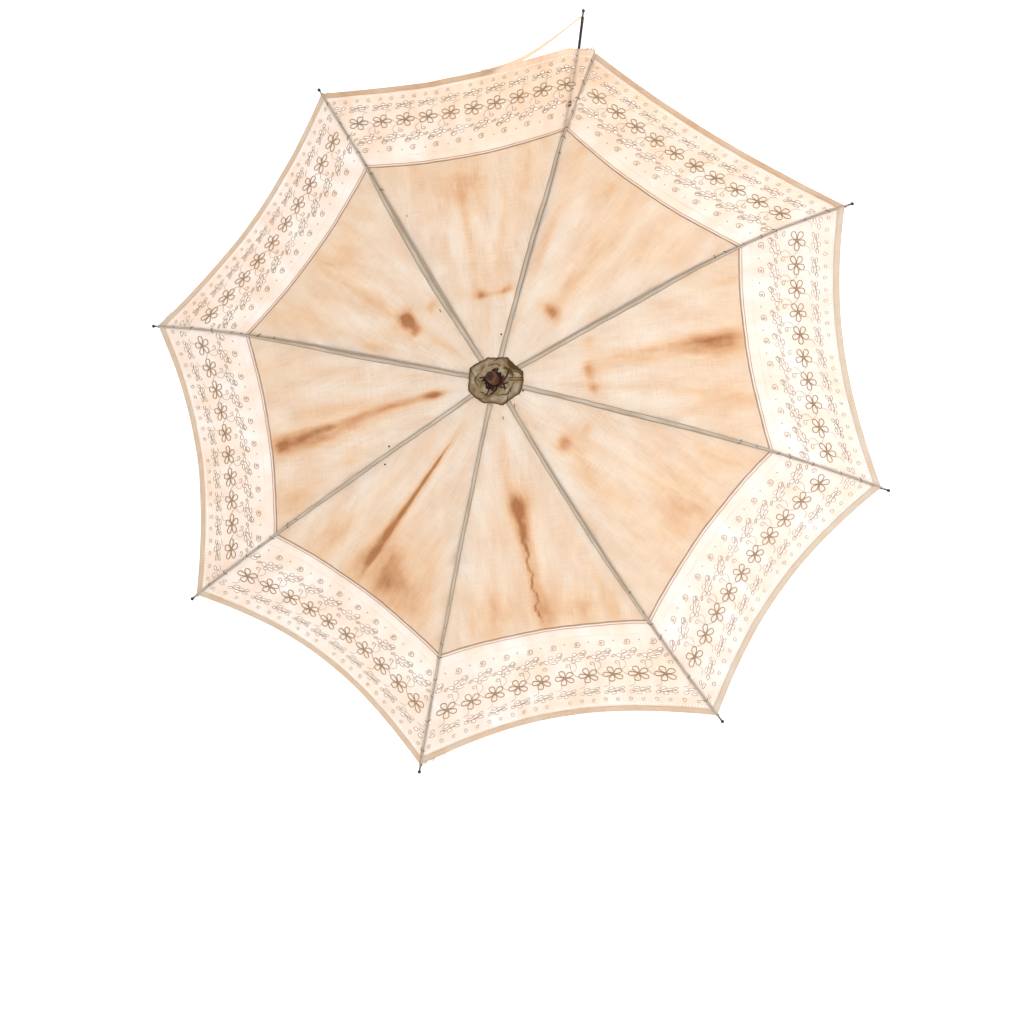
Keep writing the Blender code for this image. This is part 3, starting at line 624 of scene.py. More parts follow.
def make_finishes():
    """Every cloth, thread, wood and metal of the parasol."""
    colours = bpy.context.scene.parasol_colours
    finish_cloth("Gore cotton", tuple(colours.cotton), (0.80, 0.69, 0.585), 0.55, slub=0.55)
    finish_cloth("Lace cotton", tuple(colours.lace), (0.87, 0.79, 0.735), 0.55, slub=0.25)
    finish_cloth("Hem cotton", (0.995, 0.955, 0.885), (0.985, 0.90, 0.775), 0.48, tint=(0.66, 0.45, 0.28))
    finish_cloth("Inner edge", (0.99, 0.985, 0.98), (0.985, 0.975, 0.965), 0.97, slub=0.05)
    finish_cloth("Felled seam", (0.80, 0.66, 0.53), (0.70, 0.53, 0.39), 0.40, tint=(0.62, 0.45, 0.32))
    finish_thread("Satin stitch", tuple(colours.stitch), (0.40, 0.245, 0.115))
    finish_thread("Black tie thread", (0.10, 0.085, 0.07), (0.03, 0.025, 0.02))
    finish_thread("Rust thread", (0.105, 0.016, 0.007), (0.006, 0.003, 0.003))
    finish_tape("Seam tape")
    finish_rosette("Rosette cloth")
    finish_hard("stick", ((0.3, (0.16, 0.075, 0.03)), (0.5, (0.27, 0.135, 0.055)), (0.7, (0.38, 0.21, 0.09))),
                (0.32, 0.55), stretch=(1, 1, 0.06), scale=420, coat=0.15)
    finish_hard("grip", ((0.32, (0.075, 0.03, 0.014)), (0.5, (0.15, 0.062, 0.026)), (0.7, (0.25, 0.12, 0.05))),
                (0.22, 0.42), stretch=(1, 1, 0.14), scale=190, coat=0.35)
    finish_hard("horn", ((0.35, (0.018, 0.013, 0.010)), (0.55, (0.05, 0.034, 0.022)), (0.75, (0.14, 0.10, 0.065))),
                (0.16, 0.34), stretch=(1, 1, 0.3), scale=110, coat=0.3)
    finish_hard("brass", ((0.32, (0.19, 0.115, 0.04)), (0.5, (0.42, 0.28, 0.11)), (0.72, (0.60, 0.44, 0.20))),
                (0.28, 0.62), metallic=0.9, scale=150, depth=0.0001)
    finish_hard("steel", ((0.34, (0.10, 0.045, 0.022)), (0.46, (0.028, 0.025, 0.023)), (0.75, (0.055, 0.05, 0.047))),
                (0.30, 0.62), metallic=0.35, scale=130, depth=0.00015)
    finish_ferrule("rust_and_painted_light")
    finish_hard("tip", ((0.35, (0.012, 0.011, 0.011)), (0.75, (0.05, 0.045, 0.042))), (0.18, 0.42), scale=300)


# ---------------------------------------------------------------- the cotton gores
def stains(gore, share, across):
    """Bell-shaped marks that follow the gore's own grain, over fan-like streaks from the crown and a
    warmer outer edge. A streak is a sum of sines across the gore."""
    total = 0.02 + 0.17 * (share / SEAM_SHARE) ** 2
    fan = sum(np.sin(math.tau * (turns * across + 0.31 * turns * (gore + 1))) / turns
              for turns in (3.1, 5.3, 9.7, 17.3))
    total = total + (0.15 + 0.24 * share) * np.clip(fan, 0, None)
    width = gore_width(share)
    for number, at, along, half_width, half_length, strength in STAINS:
        if number == gore + 1:
            aside = (across - at) * width / (half_width * 0.00115)
            away = (share - along) * RIB_LENGTH / (half_length * 0.00115)
            total = total + strength * np.exp(-(aside ** 2 + away ** 2))
    if gore in (3, 4):
        if gore == 3:
            wander = 0.5 + (0.012 * np.sin(95 * share) + 0.005 * np.sin(231 * share))
        else:
            wander = 0.5 + (0.045 - 0.01 * share)
        crease = np.exp(-((across - wander) * width / 0.0011) ** 2)
        reach = np.clip((share - 0.16 - 0.12 * (gore == 3)) / 0.08, 0, 1) * np.clip((0.66 - share) / 0.03, 0, 1)
        total = total + 0.75 * crease * reach
    return np.clip(total, 0, 1.3)


def make_gore(gore):
    """A gore's two halves as grids on the cover, thickened into closed sheets."""
    rows = np.linspace(COVER_START, SEAM_SHARE, 105)[:, None]
    for letter, rib, first, last in halves(gore):
        across = np.linspace(first, last, 46)[None]
        points, normals = lifted(gore, rows, across)
        share, place = np.broadcast_arrays(rows, across)
        faces = upward(points.reshape(-1, 3), grid_faces(*share.shape))
        thick, layers, wall, source = shell(points.reshape(-1, 3), normals.reshape(-1, 3), faces, CLOTH)
        cut = np.stack([(place - 0.5) * gore_width(share) + 0.6 * gore, share * RIB_LENGTH], -1).reshape(-1, 2)
        stain = stains(gore, share, place).ravel()
        piece = new_piece(f"gore_{gore + 1}_cotton_{letter}", thick, layers, ("Gore cotton", "Inner edge"), wall,
                          cut[source], {"stain": stain[source]},
                          [0] * (2 * len(faces)) + joins(wall, place.ravel()[source] - 0.5))
        hang(piece, rib)
        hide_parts(f"gore_{gore + 1}")


# ---------------------------------------------------------------- the lace
def ellipses(list_of_eyelets, at, steps, grow=0.0):
    """Closed outlines round turned ellipses of one motif, (eyelet, step, 2), in metres from its flower."""
    made = np.array(list_of_eyelets, float)
    turn = math.tau * np.arange(steps) / steps
    along = (made[:, 2:3] / 2000 + grow) * np.cos(turn)
    out = (made[:, 3:4] / 2000 + grow) * np.sin(turn)
    tilt = np.radians(made[:, 4:5])
    x = made[:, 0:1] / 1000 + along * np.cos(tilt) - out * np.sin(tilt) + at[0] / 1000
    y = made[:, 1:2] / 1000 + along * np.sin(tilt) + out * np.cos(tilt) + at[1] * BAND
    return np.stack([x, y], -1)


def repeats(outlines, pitch):
    """One motif's outlines carried along the band at every half pitch either side of its middle."""
    places = (np.arange(-6, 6) + 0.5) * pitch
    moved = outlines[None] + np.stack([places, np.zeros(12)], -1)[:, None, None]
    return moved.reshape(-1, *outlines.shape[1:])


def within(outlines, margin):
    """The outlines that stay inside the band's slanted ends and off its middle line."""
    half = (SEAM_WIDTH + (HEM_WIDTH - SEAM_WIDTH) * outlines[..., 1] / BAND) / 2 - margin
    inside = (np.abs(outlines[..., 0]) < half).all(-1)
    one_side = np.abs(np.sign(outlines[..., 0]).sum(-1)) == outlines.shape[1]
    return outlines[inside & one_side]


def eyelet_outlines(pitch):
    """Every hole in a border: the sprigs' eyelets, one by each flower, and the two punched rows."""
    large = [within(repeats(ellipses(INNER_SPRIG, INNER_AT, 10), pitch), 0.002),
             within(repeats(ellipses(OUTER_SPRIG, OUTER_AT, 10), pitch), 0.002),
             within(repeats(ellipses(FLOWER_EYELETS, FLOWER_AT, 10), pitch), 0.002)]
    turn = math.tau * np.arange(6) / 6
    circle = np.stack([np.cos(turn), np.sin(turn)], -1)
    small = []
    for part, spacing, radius in (INNER_ROW, OUTER_ROW):
        places = (np.arange(-70, 70) + 0.5) * spacing
        centres = np.stack([places, np.full(140, part * BAND)], -1)
        small.append(within(centres[:, None] + circle[None] * radius, 0.0022))
    return large + small


def in_holes(spots, outlines):
    """Whether each spot lies in one of the outlined ellipses: the squares of its shares of their two half
    lengths sum to less than the square of 0.94."""
    centre = outlines.mean(1)
    steps = outlines.shape[1]
    long_way = (outlines[:, 0] - outlines[:, steps // 2]) / 2
    length = np.linalg.norm(long_way, axis=1)
    along = long_way / length[:, None]
    other = np.stack([-along[:, 1], along[:, 0]], -1)
    corner = math.cos(math.pi / steps * (steps % 4 != 0))
    spread = np.abs(np.einsum("hsk,hk->hs", outlines - centre[:, None], other)).max(1) / corner
    away = spots[:, None] - centre[None]
    along_share = np.einsum("thk,hk->th", away, along) / length
    other_share = np.einsum("thk,hk->th", away, other) / spread
    return (along_share ** 2 + other_share ** 2 < 0.94 ** 2).any(1)


def flat_lace(pitch):
    """The border cut flat: a triangulated trapezium, split down its middle, without the triangles whose
    middles lie in a hole."""
    holes = eyelet_outlines(pitch)
    rings = []
    for depth in np.linspace(0, BAND, 27):
        half = (SEAM_WIDTH + (HEM_WIDTH - SEAM_WIDTH) * depth / BAND) / 2
        count = 2 * int(round(half / 0.0052))
        rings.append(np.stack([half * np.linspace(-1, 1, count + 1), np.full(count + 1, depth)], -1))
    starts = np.cumsum([0] + [len(ring) for ring in rings])
    points = [np.concatenate(rings)]
    edges = []
    for ring, start in ((rings[0], starts[0]), (rings[-1], starts[-2])):
        order = start + np.arange(len(ring))
        edges.append(np.stack([order[:-1], order[1:]], -1))
    for pick in (0, 0.5, 1):
        order = np.array([start + int(round(pick * (len(ring) - 1))) for ring, start in zip(rings, starts)])
        edges.append(np.stack([order[:-1], order[1:]], -1))
    total = starts[-1]
    for block in holes:
        order = total + np.arange(block.shape[0] * block.shape[1]).reshape(block.shape[:2])
        edges.append(np.stack([order, np.roll(order, -1, axis=1)], -1).reshape(-1, 2))
        points.append(block.reshape(-1, 2))
        total += order.size
    found = delaunay_2d_cdt(np.concatenate(points).tolist(), np.concatenate(edges).tolist(), [], 0, 1e-7)
    flat, faces = np.array([tuple(point) for point in found[0]]), np.array(found[2])
    middle = flat[faces].mean(1)
    hollow = np.zeros(len(faces), bool)
    for block in holes:
        hollow |= in_holes(middle, block)
    size = np.cross(flat[faces[:, 1]] - flat[faces[:, 0]], flat[faces[:, 2]] - flat[faces[:, 0]])
    return flat, faces[~hollow & (np.abs(size) > 1e-13)]


def lace_stain(gore, along, depth):
    """The border's own toning: warmer towards the hem, most on the gores either side of rib 1."""
    side = 0.5 + 0.5 * np.tanh(along / 0.08) * (1 if gore == RIBS - 1 else -1)
    cloudy = 0.5 + 0.5 * np.sin(along * 61 + gore * 2.1) * np.sin(depth * 83 + along * 23 + gore)
    return LACE_WARMTH[gore] * (0.35 + 0.65 * side) * (0.55 + 0.45 * depth / BAND) + 0.13 * cloudy


def make_lace(gore, flat, faces):
    """A border's two halves: the flat cut laid on the cover and thickened into closed sheets."""
    for letter, rib, *_ in halves(gore):
        middle = flat[faces].mean(1)[:, 0]
        own = faces[middle < 0] if letter == "a" else faces[middle > 0]
        used, index = np.unique(own, return_inverse=True)
        spot = flat[used]
        own = index.reshape(own.shape)
        points, normals = on_lace(gore, spot[:, 0], spot[:, 1])
        own = upward(points, own)
        thick, layers, wall, source = shell(points, normals, own, CLOTH)
        cut = (spot + np.array([0.6 * gore, 1.0]))[source]
        stain = lace_stain(gore, spot[:, 0], spot[:, 1])[source]
        piece = new_piece(f"lace_{gore + 1}_eyelets_{letter}", thick, layers, ("Lace cotton", "Inner edge"), wall,
                          cut, {"stain": stain}, [0] * (2 * len(own)) + joins(wall, spot[source, 0]))
        hang(piece, rib)
        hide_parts(f"lace_border_{gore + 1}")


def petals(settings):
    """Five open loops round a flower. Each grows from the middle as a cosine and is widest past its half."""
    turn = math.tau * np.arange(16) / 16
    grown = (1 - np.cos(turn)) / 2
    along = 0.0014 + settings.petal_length * grown
    out = settings.petal_width / 2 * np.sin(turn) * (0.45 + 0.75 * grown)
    angle = math.tau * np.arange(5)[:, None] / 5
    x = along * np.cos(angle) - out * np.sin(angle) + FLOWER_AT[0] / 1000
    y = along * np.sin(angle) + out * np.cos(angle) + FLOWER_AT[1] * BAND
    return np.stack([x, y], -1)


def scroll(x, y, radius, turns, start, steps=18):
    """A spiral that winds in evenly to a quarter of its radius."""
    part = np.linspace(0, 1, steps)
    angle = start + math.tau * turns * part
    reach = radius * (1 - 0.75 * part)
    return np.stack([x / 1000 + reach * np.cos(angle), y * BAND + reach * np.sin(angle)], -1)[None]


def curved_stem(first, last, bend, steps=9):
    """A stem between two points in mm from the flower, bent sideways as a sine."""
    part = np.linspace(0, 1, steps)[:, None]
    first, last = np.array(first, float) / 1000, np.array(last, float) / 1000
    side = np.array([-(last - first)[1], (last - first)[0]])
    return (first + (last - first) * part + side * bend * np.sin(math.pi * part)
            + np.array([0, FLOWER_AT[1] * BAND]))[None]


def bars(part, spacing, pitch):
    """Short stitches that cross a punched row between its holes, over one repeat."""
    count = int(round(pitch / spacing))
    x = (np.arange(count)[:, None] / count - 0.5) * pitch + np.zeros((1, 3))
    y = part * BAND + 0.0011 * np.array([[-1.0, 0.0, 1.0]]) + 0 * x
    return np.stack([x + 0.0002 * (y - part * BAND) / 0.001, y], -1)


def stitch_blocks(settings):
    """Every stitched line of a border as (outlines, closed, radius, tone) in the flat."""
    pitch = settings.pitch
    heart = np.stack([0.0011 * np.cos(math.tau * np.arange(8) / 8) + FLOWER_AT[0] / 1000,
                      0.0011 * np.sin(math.tau * np.arange(8) / 8) + FLOWER_AT[1] * BAND], -1)[None]
    inner_y, outer_y = (INNER_AT[1] - FLOWER_AT[1]) * BAND * 1000, (OUTER_AT[1] - FLOWER_AT[1]) * BAND * 1000
    blocks = [
        (petals(settings), True, 0.00062, 0.86),
        (heart, True, 0.0006, 0.95),
        (ellipses(INNER_SPRIG, INNER_AT, 10, 0.00040), True, 0.00046, 0.78),
        (ellipses(OUTER_SPRIG, OUTER_AT, 10, 0.00040), True, 0.00046, 0.80),
        (scroll(INNER_AT[0] - 3, 0.205, 0.0046, 1.3, 0.4), False, 0.00042, 0.84),
        (scroll(INNER_AT[0] - 15, 0.430, 0.0034, 1.1, 2.0, 14), False, 0.00038, 0.80),
        (scroll(OUTER_AT[0] + 11, 0.850, 0.0032, 1.1, 1.0, 14), False, 0.00036, 0.78),
        (scroll(OUTER_AT[0] - 3, 0.862, 0.0028, 1.0, 3.6, 14), False, 0.00036, 0.78),
        (curved_stem((1, 6), (INNER_AT[0] + 9, inner_y + 9), 0.25), False, 0.00032, 0.66),
        (curved_stem((INNER_AT[0] - 9, inner_y - 5), (INNER_AT[0] + 8, inner_y + 5), -0.12), False, 0.00036, 0.72),
        (curved_stem((OUTER_AT[0] - 11, outer_y - 2), (OUTER_AT[0] + 9, outer_y + 0.5), 0.10), False, 0.00036, 0.72),
        (curved_stem((-9, -6), (-12, inner_y + 6), -0.30), False, 0.00030, 0.62),
        (curved_stem((6, 9), (OUTER_AT[0] + 10, outer_y - 7), 0.30), False, 0.00030, 0.62),
        (ellipses(((-13, 0, 5.4, 2.6, 35), (-10, -6.5, 5.0, 2.2, 60)), (INNER_AT[0], INNER_AT[1] + .02), 10),
         True, 0.00042, 0.80),
        (ellipses(((-3, 0, 1.0, 1.0, 0), (11, -2, 1.0, 1.0, 0)), (INNER_AT[0], 0.205), 6), True, 0.00044, 0.80),
        (bars(*INNER_ROW[:2], pitch), False, 0.00034, 0.66),
        (bars(*OUTER_ROW[:2], pitch), False, 0.00036, 0.70),
    ]
    return [(within(repeats(outline, pitch), 0.0018), closed, radius, tone)
            for outline, closed, radius, tone in blocks]


def make_stitches(gore, blocks):
    """The raised embroidery of a border's two halves, as tubes along its stitched lines."""
    for letter, rib, *_ in halves(gore):
        parts = []
        for outlines, closed, radius, tone in blocks:
            own = outlines[(outlines[:, 0, 0] < 0) == (letter == "a")]
            if not len(own):
                continue
            paths, normals = on_lace(gore, own[..., 0], own[..., 1], CLOTH / 2 + radius * 0.45)
            points, faces = tubes(paths, normals, radius, closed)
            fade = 0.12 * np.sin(gore * 1.7 + own[:, 0, 0] * 70)
            per_path = len(points) // len(own)
            parts.append((points, outward(points, faces), {"tone": np.repeat(tone + fade, per_path)}))
        points, faces, facts = merged(parts)
        piece = new_piece(f"lace_{gore + 1}_stitches_{letter}", points, [faces], ("Satin stitch",), None, None, facts)
        hang(piece, rib)


# ---------------------------------------------------------------- seams, hems and tapes
def strip(gore, across, inner, outer, lift, height, kind, columns=9):
    """A narrow folded strip along the cover between two shares, rounded up in the middle as a parabola. Kind is
    0 or 1 for the two seam lines, browned at both sides, and 2 for the hem, browned at its outer fold."""
    part = np.linspace(0, 1, columns)[:, None]
    share = inner + (outer - inner) * part
    mound = (lift + height * 4 * part * (1 - part)) + 0 * across[None]
    points, normals = lifted(gore, share, across[None], mound)
    faces = upward(points.reshape(-1, 3), grid_faces(*points.shape[:2]))
    away = np.broadcast_to(across[None] - 0.5, points.shape[:2])
    thick, layers, wall, source = shell(points.reshape(-1, 3), normals.reshape(-1, 3), faces, CLOTH)
    side = np.broadcast_to(part, points.shape[:2]).ravel()
    cut = np.stack([np.broadcast_to((across[None] - 0.5) * HEM_WIDTH, points.shape[:2]).ravel(),
                    side * 0.008 + kind], -1)
    if kind < 2:
        edge = np.abs(2 * side - 1) ** 5
    else:
        edge = 0.9 * np.clip(side * 8 - 7, 0, 1) + 0.45 * np.clip(1 - side * 7, 0, 1)
    round_gore = np.broadcast_to(across[None], points.shape[:2]).ravel()
    stain = HEM_AGE[gore] * (0.6 + 0.4 * np.abs(np.sin(round_gore * 11 + gore)))
    return thick, layers, wall, cut[source], edge[source], stain[source], joins(wall, away.ravel()[source])


def make_trim(gore):
    """The felled seam where gore and lace meet, and the folded hem past the outer punched row."""
    for letter, rib, first, last in halves(gore):
        across = np.linspace(first, last, 61)
        hem_across = across
        if gore == RIBS - 1 and letter == "b":
            hem_across = np.linspace(first, 0.64, 20)
        wobble = 0.0006 * np.sin(across * 17 + gore) + 0.0003 * np.sin(across * 61)
        torn_back = 0.0185 * np.clip((hem_across - 0.575) / 0.065, 0, 1) ** 2 * (len(hem_across) == 20)
        seam = SEAM_SHARE + wobble
        strips = [strip(gore, across, seam - 0.0028, seam + 0.0014, 0.0003, 0.0004, 0.0),
                  strip(gore, across, seam + 0.0064, seam + 0.0084, 0.0003, 0.0002, 1.0),
                  strip(gore, hem_across, HEM_SHARE - 0.0190, HEM_SHARE + 0.0015 - torn_back, 0.0004, 0.0004, 2.0)]
        start, points, smooth, walls, kinds, inner, maps, edges, ages = 0, [], [], [], [], [], [], [], []
        for kind, (thick, layers, wall, cut, edge, stain, joined) in zip((0, 0, 1), strips):
            smooth += [layer + start for layer in layers]
            walls.append(wall + start)
            kinds += [kind] * sum(len(layer) for layer in layers)
            inner += [2 if join else kind for join in joined]
            start += len(thick)
            points.append(thick), maps.append(cut), edges.append(edge), ages.append(stain)
        piece = new_piece(f"trim_{gore + 1}_{letter}", np.concatenate(points), smooth,
                          ("Felled seam", "Hem cotton", "Inner edge"),
                          np.concatenate(walls), np.concatenate(maps),
                          {"edge": np.concatenate(edges), "stain": np.concatenate(ages)}, kinds + inner)
        hang(piece, rib)


def tape_points(rib, share, aside, lift):
    """A point beside a rib on top of the cover: clockwise it lies on the rib's own gore, counter-clockwise on
    the gore before it."""
    width = np.maximum(gore_width(share), 0.012)
    after, _ = lifted(rib, share, np.clip(-aside, 0, None) / width, lift)
    before, _ = lifted((rib - 1) % RIBS, share, 1 - np.clip(aside, 0, None) / width, lift)
    return np.where((aside > 0)[..., None], before, after)


def make_tape(rib):
    """The worn tape along a rib: narrow at the crown and hem and spread by wear between, its share across
    kept as a fact."""
    share = np.linspace(0.040, 0.985 if rib else 0.972, 150)[:, None]
    part = np.linspace(-0.5, 0.5, 7)[None]
    swell = np.sin(math.pi * np.clip(share / 0.70, 0, 1)) ** 1.2
    wander = 0.00025 * np.sin(share * 23 + rib * 2) + 0.00012 * np.sin(share * 91 + rib)
    width = 0.0031 + 0.0008 * TAPE_SPREAD[rib] * swell + 0.0012 * np.clip(1 - share / 0.2, 0, 1)
    width = width * np.clip((1.0 - share) / 0.38, 0.58, 1)
    aside = 0.001 * TAPE_ASIDE[rib] * np.sin(math.pi * np.clip(share / 0.74, 0, 1)) + wander + width * part
    share, part = np.broadcast_arrays(share, part)
    points = tape_points(rib, share, aside, 0.0006 + 0.0007 * (1 - 4 * part ** 2))
    flat = points.reshape(-1, 3)
    faces = upward(flat, grid_faces(*share.shape))
    thick, layers, wall, source = shell(flat, np.tile([0.0, 0.0, 1.0], (len(flat), 1)), faces, STIFF_CLOTH)
    cut = np.stack([(part * 0.007 + rib * 0.1).ravel(), (share * RIB_LENGTH).ravel()], -1)[source]
    # Which side of each tape carries the painted shadow of the rib, rib by rib.
    shadow_side_first = 0.5 + part if rib in (0, 1, 3, 4) else 0.5 - part
    piece = new_piece(f"seam_tape_{rib + 1}", thick, layers, ("Seam tape",), wall, cut,
                      {"side": shadow_side_first.ravel()[source]})
    hang(piece, rib)


def make_ties(rib):
    """Black thread ties across a tape near the lace seam, each a short path that bows down at its ends."""
    places = np.array([0.60, 0.645, 0.69, 0.735, 0.79, 0.86, 0.93]) + 0.008 * np.sin(np.arange(7) * 2.3 + rib * 1.7)
    steps = np.linspace(-1, 1, 9)[None]
    reach = 0.0031 * (0.8 + 0.4 * np.sin(np.arange(7) * 1.9 + rib))[:, None]
    spot = places[:, None] + 0.0045 * steps * np.sin(np.arange(7)[:, None] * 2.7 + rib)
    paths = tape_points(rib, spot, steps * reach, 0.0014 - 0.0009 * steps ** 2 + 0 * spot)
    points, faces = tubes(paths, np.tile([0.0, 0.0, 1.0], (7, 9, 1)), 0.00042, False)
    ties = new_piece(f"thread_ties_{rib + 1}", points, [outward(points, faces)], ("Black tie thread",), None, None,
                     {"tone": 0.5 + 0 * points[:, 0]})
    hang(ties, rib)


def make_torn_ribbon():
    """The hem strip torn free of the lace and still held by the tip of rib 1, hanging as a half sine."""
    part = np.linspace(0, 1, 60)
    start, _ = lifted(RIBS - 1, np.array([HEM_SHARE - 0.0088]), np.array([0.588]), 0.0010)
    end = on_rib(0, np.array([0.984])) + np.array([[0.0, 0.0016, -0.0005]])
    middle = start + (end - start) * part[:, None]
    middle[:, 2] -= 0.006 * np.sin(math.pi * part)
    inward = -middle[:, :2] / np.linalg.norm(middle[:, :2], axis=1, keepdims=True)
    middle[:, :2] += inward * (0.0105 * np.sin(math.pi * part) * (1 - 0.4 * part))[:, None]
    half = (0.0027 * (1 - part) ** 1.2 + 0.0012)[:, None, None]
    across = np.linspace(-1, 1, 4)[None, :, None]
    side = np.stack([inward[:, 0], inward[:, 1], 0.25 * np.ones(60)], -1)[:, None]
    points = (middle[:, None] + side * half * across).reshape(-1, 3)
    faces = upward(points, grid_faces(60, 4))
    thick, layers, wall, source = shell(points, np.tile([0.0, 0.0, 1.0], (len(points), 1)), faces, STIFF_CLOTH)
    cut = np.stack([np.repeat(part * 0.12, 4), np.tile(np.linspace(0, 0.008, 4), 60) + 3.0], -1)[source]
    edge = (np.abs(np.tile(np.linspace(-1, 1, 4), 60)) ** 3 * 0.6)[source]
    ribbon = new_piece("torn_hem_ribbon", thick, layers, ("Hem cotton",), wall, cut,
                       {"edge": edge, "stain": 0.35 + 0 * edge})
    hang(ribbon, 0)


def make_frays():
    """Frayed threads past the hem by four tips, each leaning and falling as the square of its length."""
    chance = np.random.default_rng(7)
    for label, gore, centre, reach, rib, number in FRAYS:
        where = centre + reach * chance.uniform(-1, 1, number)
        length = chance.uniform(0.003, 0.010, number)
        lean = chance.uniform(-0.5, 0.5, number)
        step = np.linspace(0, 1, 6)[None]
        share = HEM_SHARE - 0.004 + (length / RIB_LENGTH)[:, None] * step
        spot = where[:, None] + (lean * length / HEM_WIDTH)[:, None] * step ** 2
        paths, normals = lifted(gore, share, np.clip(spot, 0.001, 0.999), 0.0003 - 0.0015 * step ** 2 + 0 * spot)
        points, faces = tubes(paths, normals, chance.uniform(0.00018, 0.00034, number), False)
        fray = new_piece(f"frayed_threads_{label}", points, [outward(points, faces)], ("Satin stitch",), None, None,
                         {"tone": 0.25 + 0 * points[:, 0]})
        hang(fray, rib)


def make_specks():
    """Dark specks and thread ends lying on the cloth, each a short tube along its own turn."""
    for rib in range(RIBS):
        parts = []
        for gore, across, share, length, turn in SPECKS:
            if (gore - 1 if across < 0.5 else gore % RIBS) != rib:
                continue
            step = np.linspace(-0.5, 0.5, 6)[None] * length * 0.001
            way = math.radians(turn)
            paths, normals = lifted(gore - 1, share + step * math.sin(way) / RIB_LENGTH,
                                    across + step * math.cos(way) / gore_width(share), CLOTH / 2 + 0.0003 + 0 * step)
            points, faces = tubes(paths, normals, 0.0005 if length > 2.5 else 0.0012, False)
            parts.append((points, outward(points, faces), {"tone": 0.6}))
        if parts:
            points, faces, facts = merged(parts)
            piece = new_piece(f"specks_{rib + 1}", points, [faces], ("Rust thread",), None, None, facts)
            hang(piece, rib)


# ---------------------------------------------------------------- the crown
def cap_layer(inner, outer, lift, seed, folds, rows=26, columns=220):
    """A crumpled round of cloth: an eight-cornered outline with rounded sides, radial folds as a sum of
    sines that grow outwards, and a rim that dips to the cover."""
    turn = math.tau * np.arange(columns)[None] / columns
    part = np.linspace(0, 1, rows)[:, None]
    side = ((turn * RIBS / math.tau + 0.31 * seed) % 1 - 0.5) * math.tau / RIBS
    rim = outer * (1.03 * math.cos(math.pi / RIBS) / np.cos(side) - 0.085 * np.cos(2 * turn - 0.45)
                   + 0.022 * np.sin(5 * turn + 2 * seed) + 0.006 * np.sin(23 * turn + seed))
    reach = inner + (rim - inner) * part
    crumple = (np.sin(folds * turn + 5 * part + seed) + 0.6 * np.sin((folds * 2 + 3) * turn - 4 * part)
               + 0.5 * np.sin(3 * turn + 9 * part + 2 * seed))
    ridge = np.abs(np.sin(folds / 2 * turn + 2.5 * part + seed / 2)) ** 0.5
    height = (CROWN_Z + 0.0040 - math.tan(CROWN_SLOPE) * (reach - PIVOT_RADIUS) + lift * (1 - 0.75 * part ** 3)
              + 0.00042 * crumple * part ** 0.7 + 0.0019 * (ridge - 0.7) * np.sin(math.pi * part ** 0.8)
              + 0.0016 * np.exp(-((reach - 0.0085) / 0.003) ** 2))
    points = np.stack([reach * np.cos(turn), reach * np.sin(turn), height], -1).reshape(-1, 3)
    faces = upward(points, grid_faces(rows, columns, True))
    normals = np.tile([0.0, 0.0, 1.0], (len(points), 1))
    thick, layers, wall, source = shell(points, normals, faces, STIFF_CLOTH)
    # The edge fact: brown at the raw rim, dark slits and a dark lobe, painted shade in the fold valleys, and a dark
    # ring at the inner rim that is partly rust stain and partly painted shadow round the ferrule hole.
    slits = 1.6 * sum(np.exp(-((reach * np.sin(turn + 1.30) - aside) / 0.00045) ** 2) for aside in (-0.0006, 0.0019))
    slits = slits * np.clip(part * 5 - 2.2, 0, 1) * (np.cos(turn + 1.30) > 0)
    lobe = np.exp(-(np.sin((turn + 0.62) / 2) / 0.15) ** 2 - ((part - 0.80) / 0.16) ** 2)
    painted_fold_shade = np.clip(0.34 - ridge, 0, 1) / 0.34
    edge = (0.95 * part ** 5 + slits + 0.8 * lobe + 0.75 * painted_fold_shade * np.clip(part * 3, 0, 1)
            + 0.85 * np.exp(-((reach - inner) / 0.0035) ** 2) + 0 * turn)
    return thick, layers, wall, np.clip(edge, 0, 1).ravel()[source]


def make_rosette():
    """Two crumpled rounds of stiffened cloth over the crown."""
    for label, inner, outer, lift, seed, folds in (("lower", 0.0072, 0.0292, 0.0002, 1.0, 5),
                                                   ("upper", 0.0068, 0.0205, 0.0018, 2.6, 7)):
        thick, layers, wall, edge = cap_layer(inner, outer, lift, seed, folds)
        piece = new_piece(f"rosette_{label}", thick, layers, ("Rosette cloth",), wall, None, {"edge": edge})
        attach(piece, "stick")
        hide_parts("rosette")


def make_tatters():
    """Rust-stained tatters round the ferrule, each curling outwards as its way to the power 1.2."""
    chance = np.random.default_rng(23)
    number, steps = 70, 12
    step = np.linspace(0, 1, steps)[None]
    angle = chance.uniform(0, math.tau, number)[:, None] + chance.uniform(-1.3, 1.3, number)[:, None] * step
    length = chance.uniform(0.001, 0.0075, number) + 0.0075 * (np.arange(number) % 7 == 0)
    reach = 0.0056 + length[:, None] * step ** 1.2
    rise = (CROWN_Z + 0.0085 + chance.uniform(-0.001, 0.0035, number)[:, None] * np.sin(math.pi * step)
            - 0.0022 * step ** 2 + 0.0006 * np.sin(step * 17 + np.arange(number)[:, None]))
    paths = np.stack([reach * np.cos(angle), reach * np.sin(angle), rise], -1)
    normals = np.tile([0.0, 0.0, 1.0], (number, steps, 1))
    points, faces = tubes(paths, normals, chance.uniform(0.0005, 0.0013, number), False)
    tone = np.repeat(chance.uniform(0.1, 1, number), steps * TUBE_SIDES)
    tatters = new_piece("ferrule_tatters", points, [outward(points, faces)], ("Rust thread",), None, None,
                        {"tone": tone})
    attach(tatters, "stick")


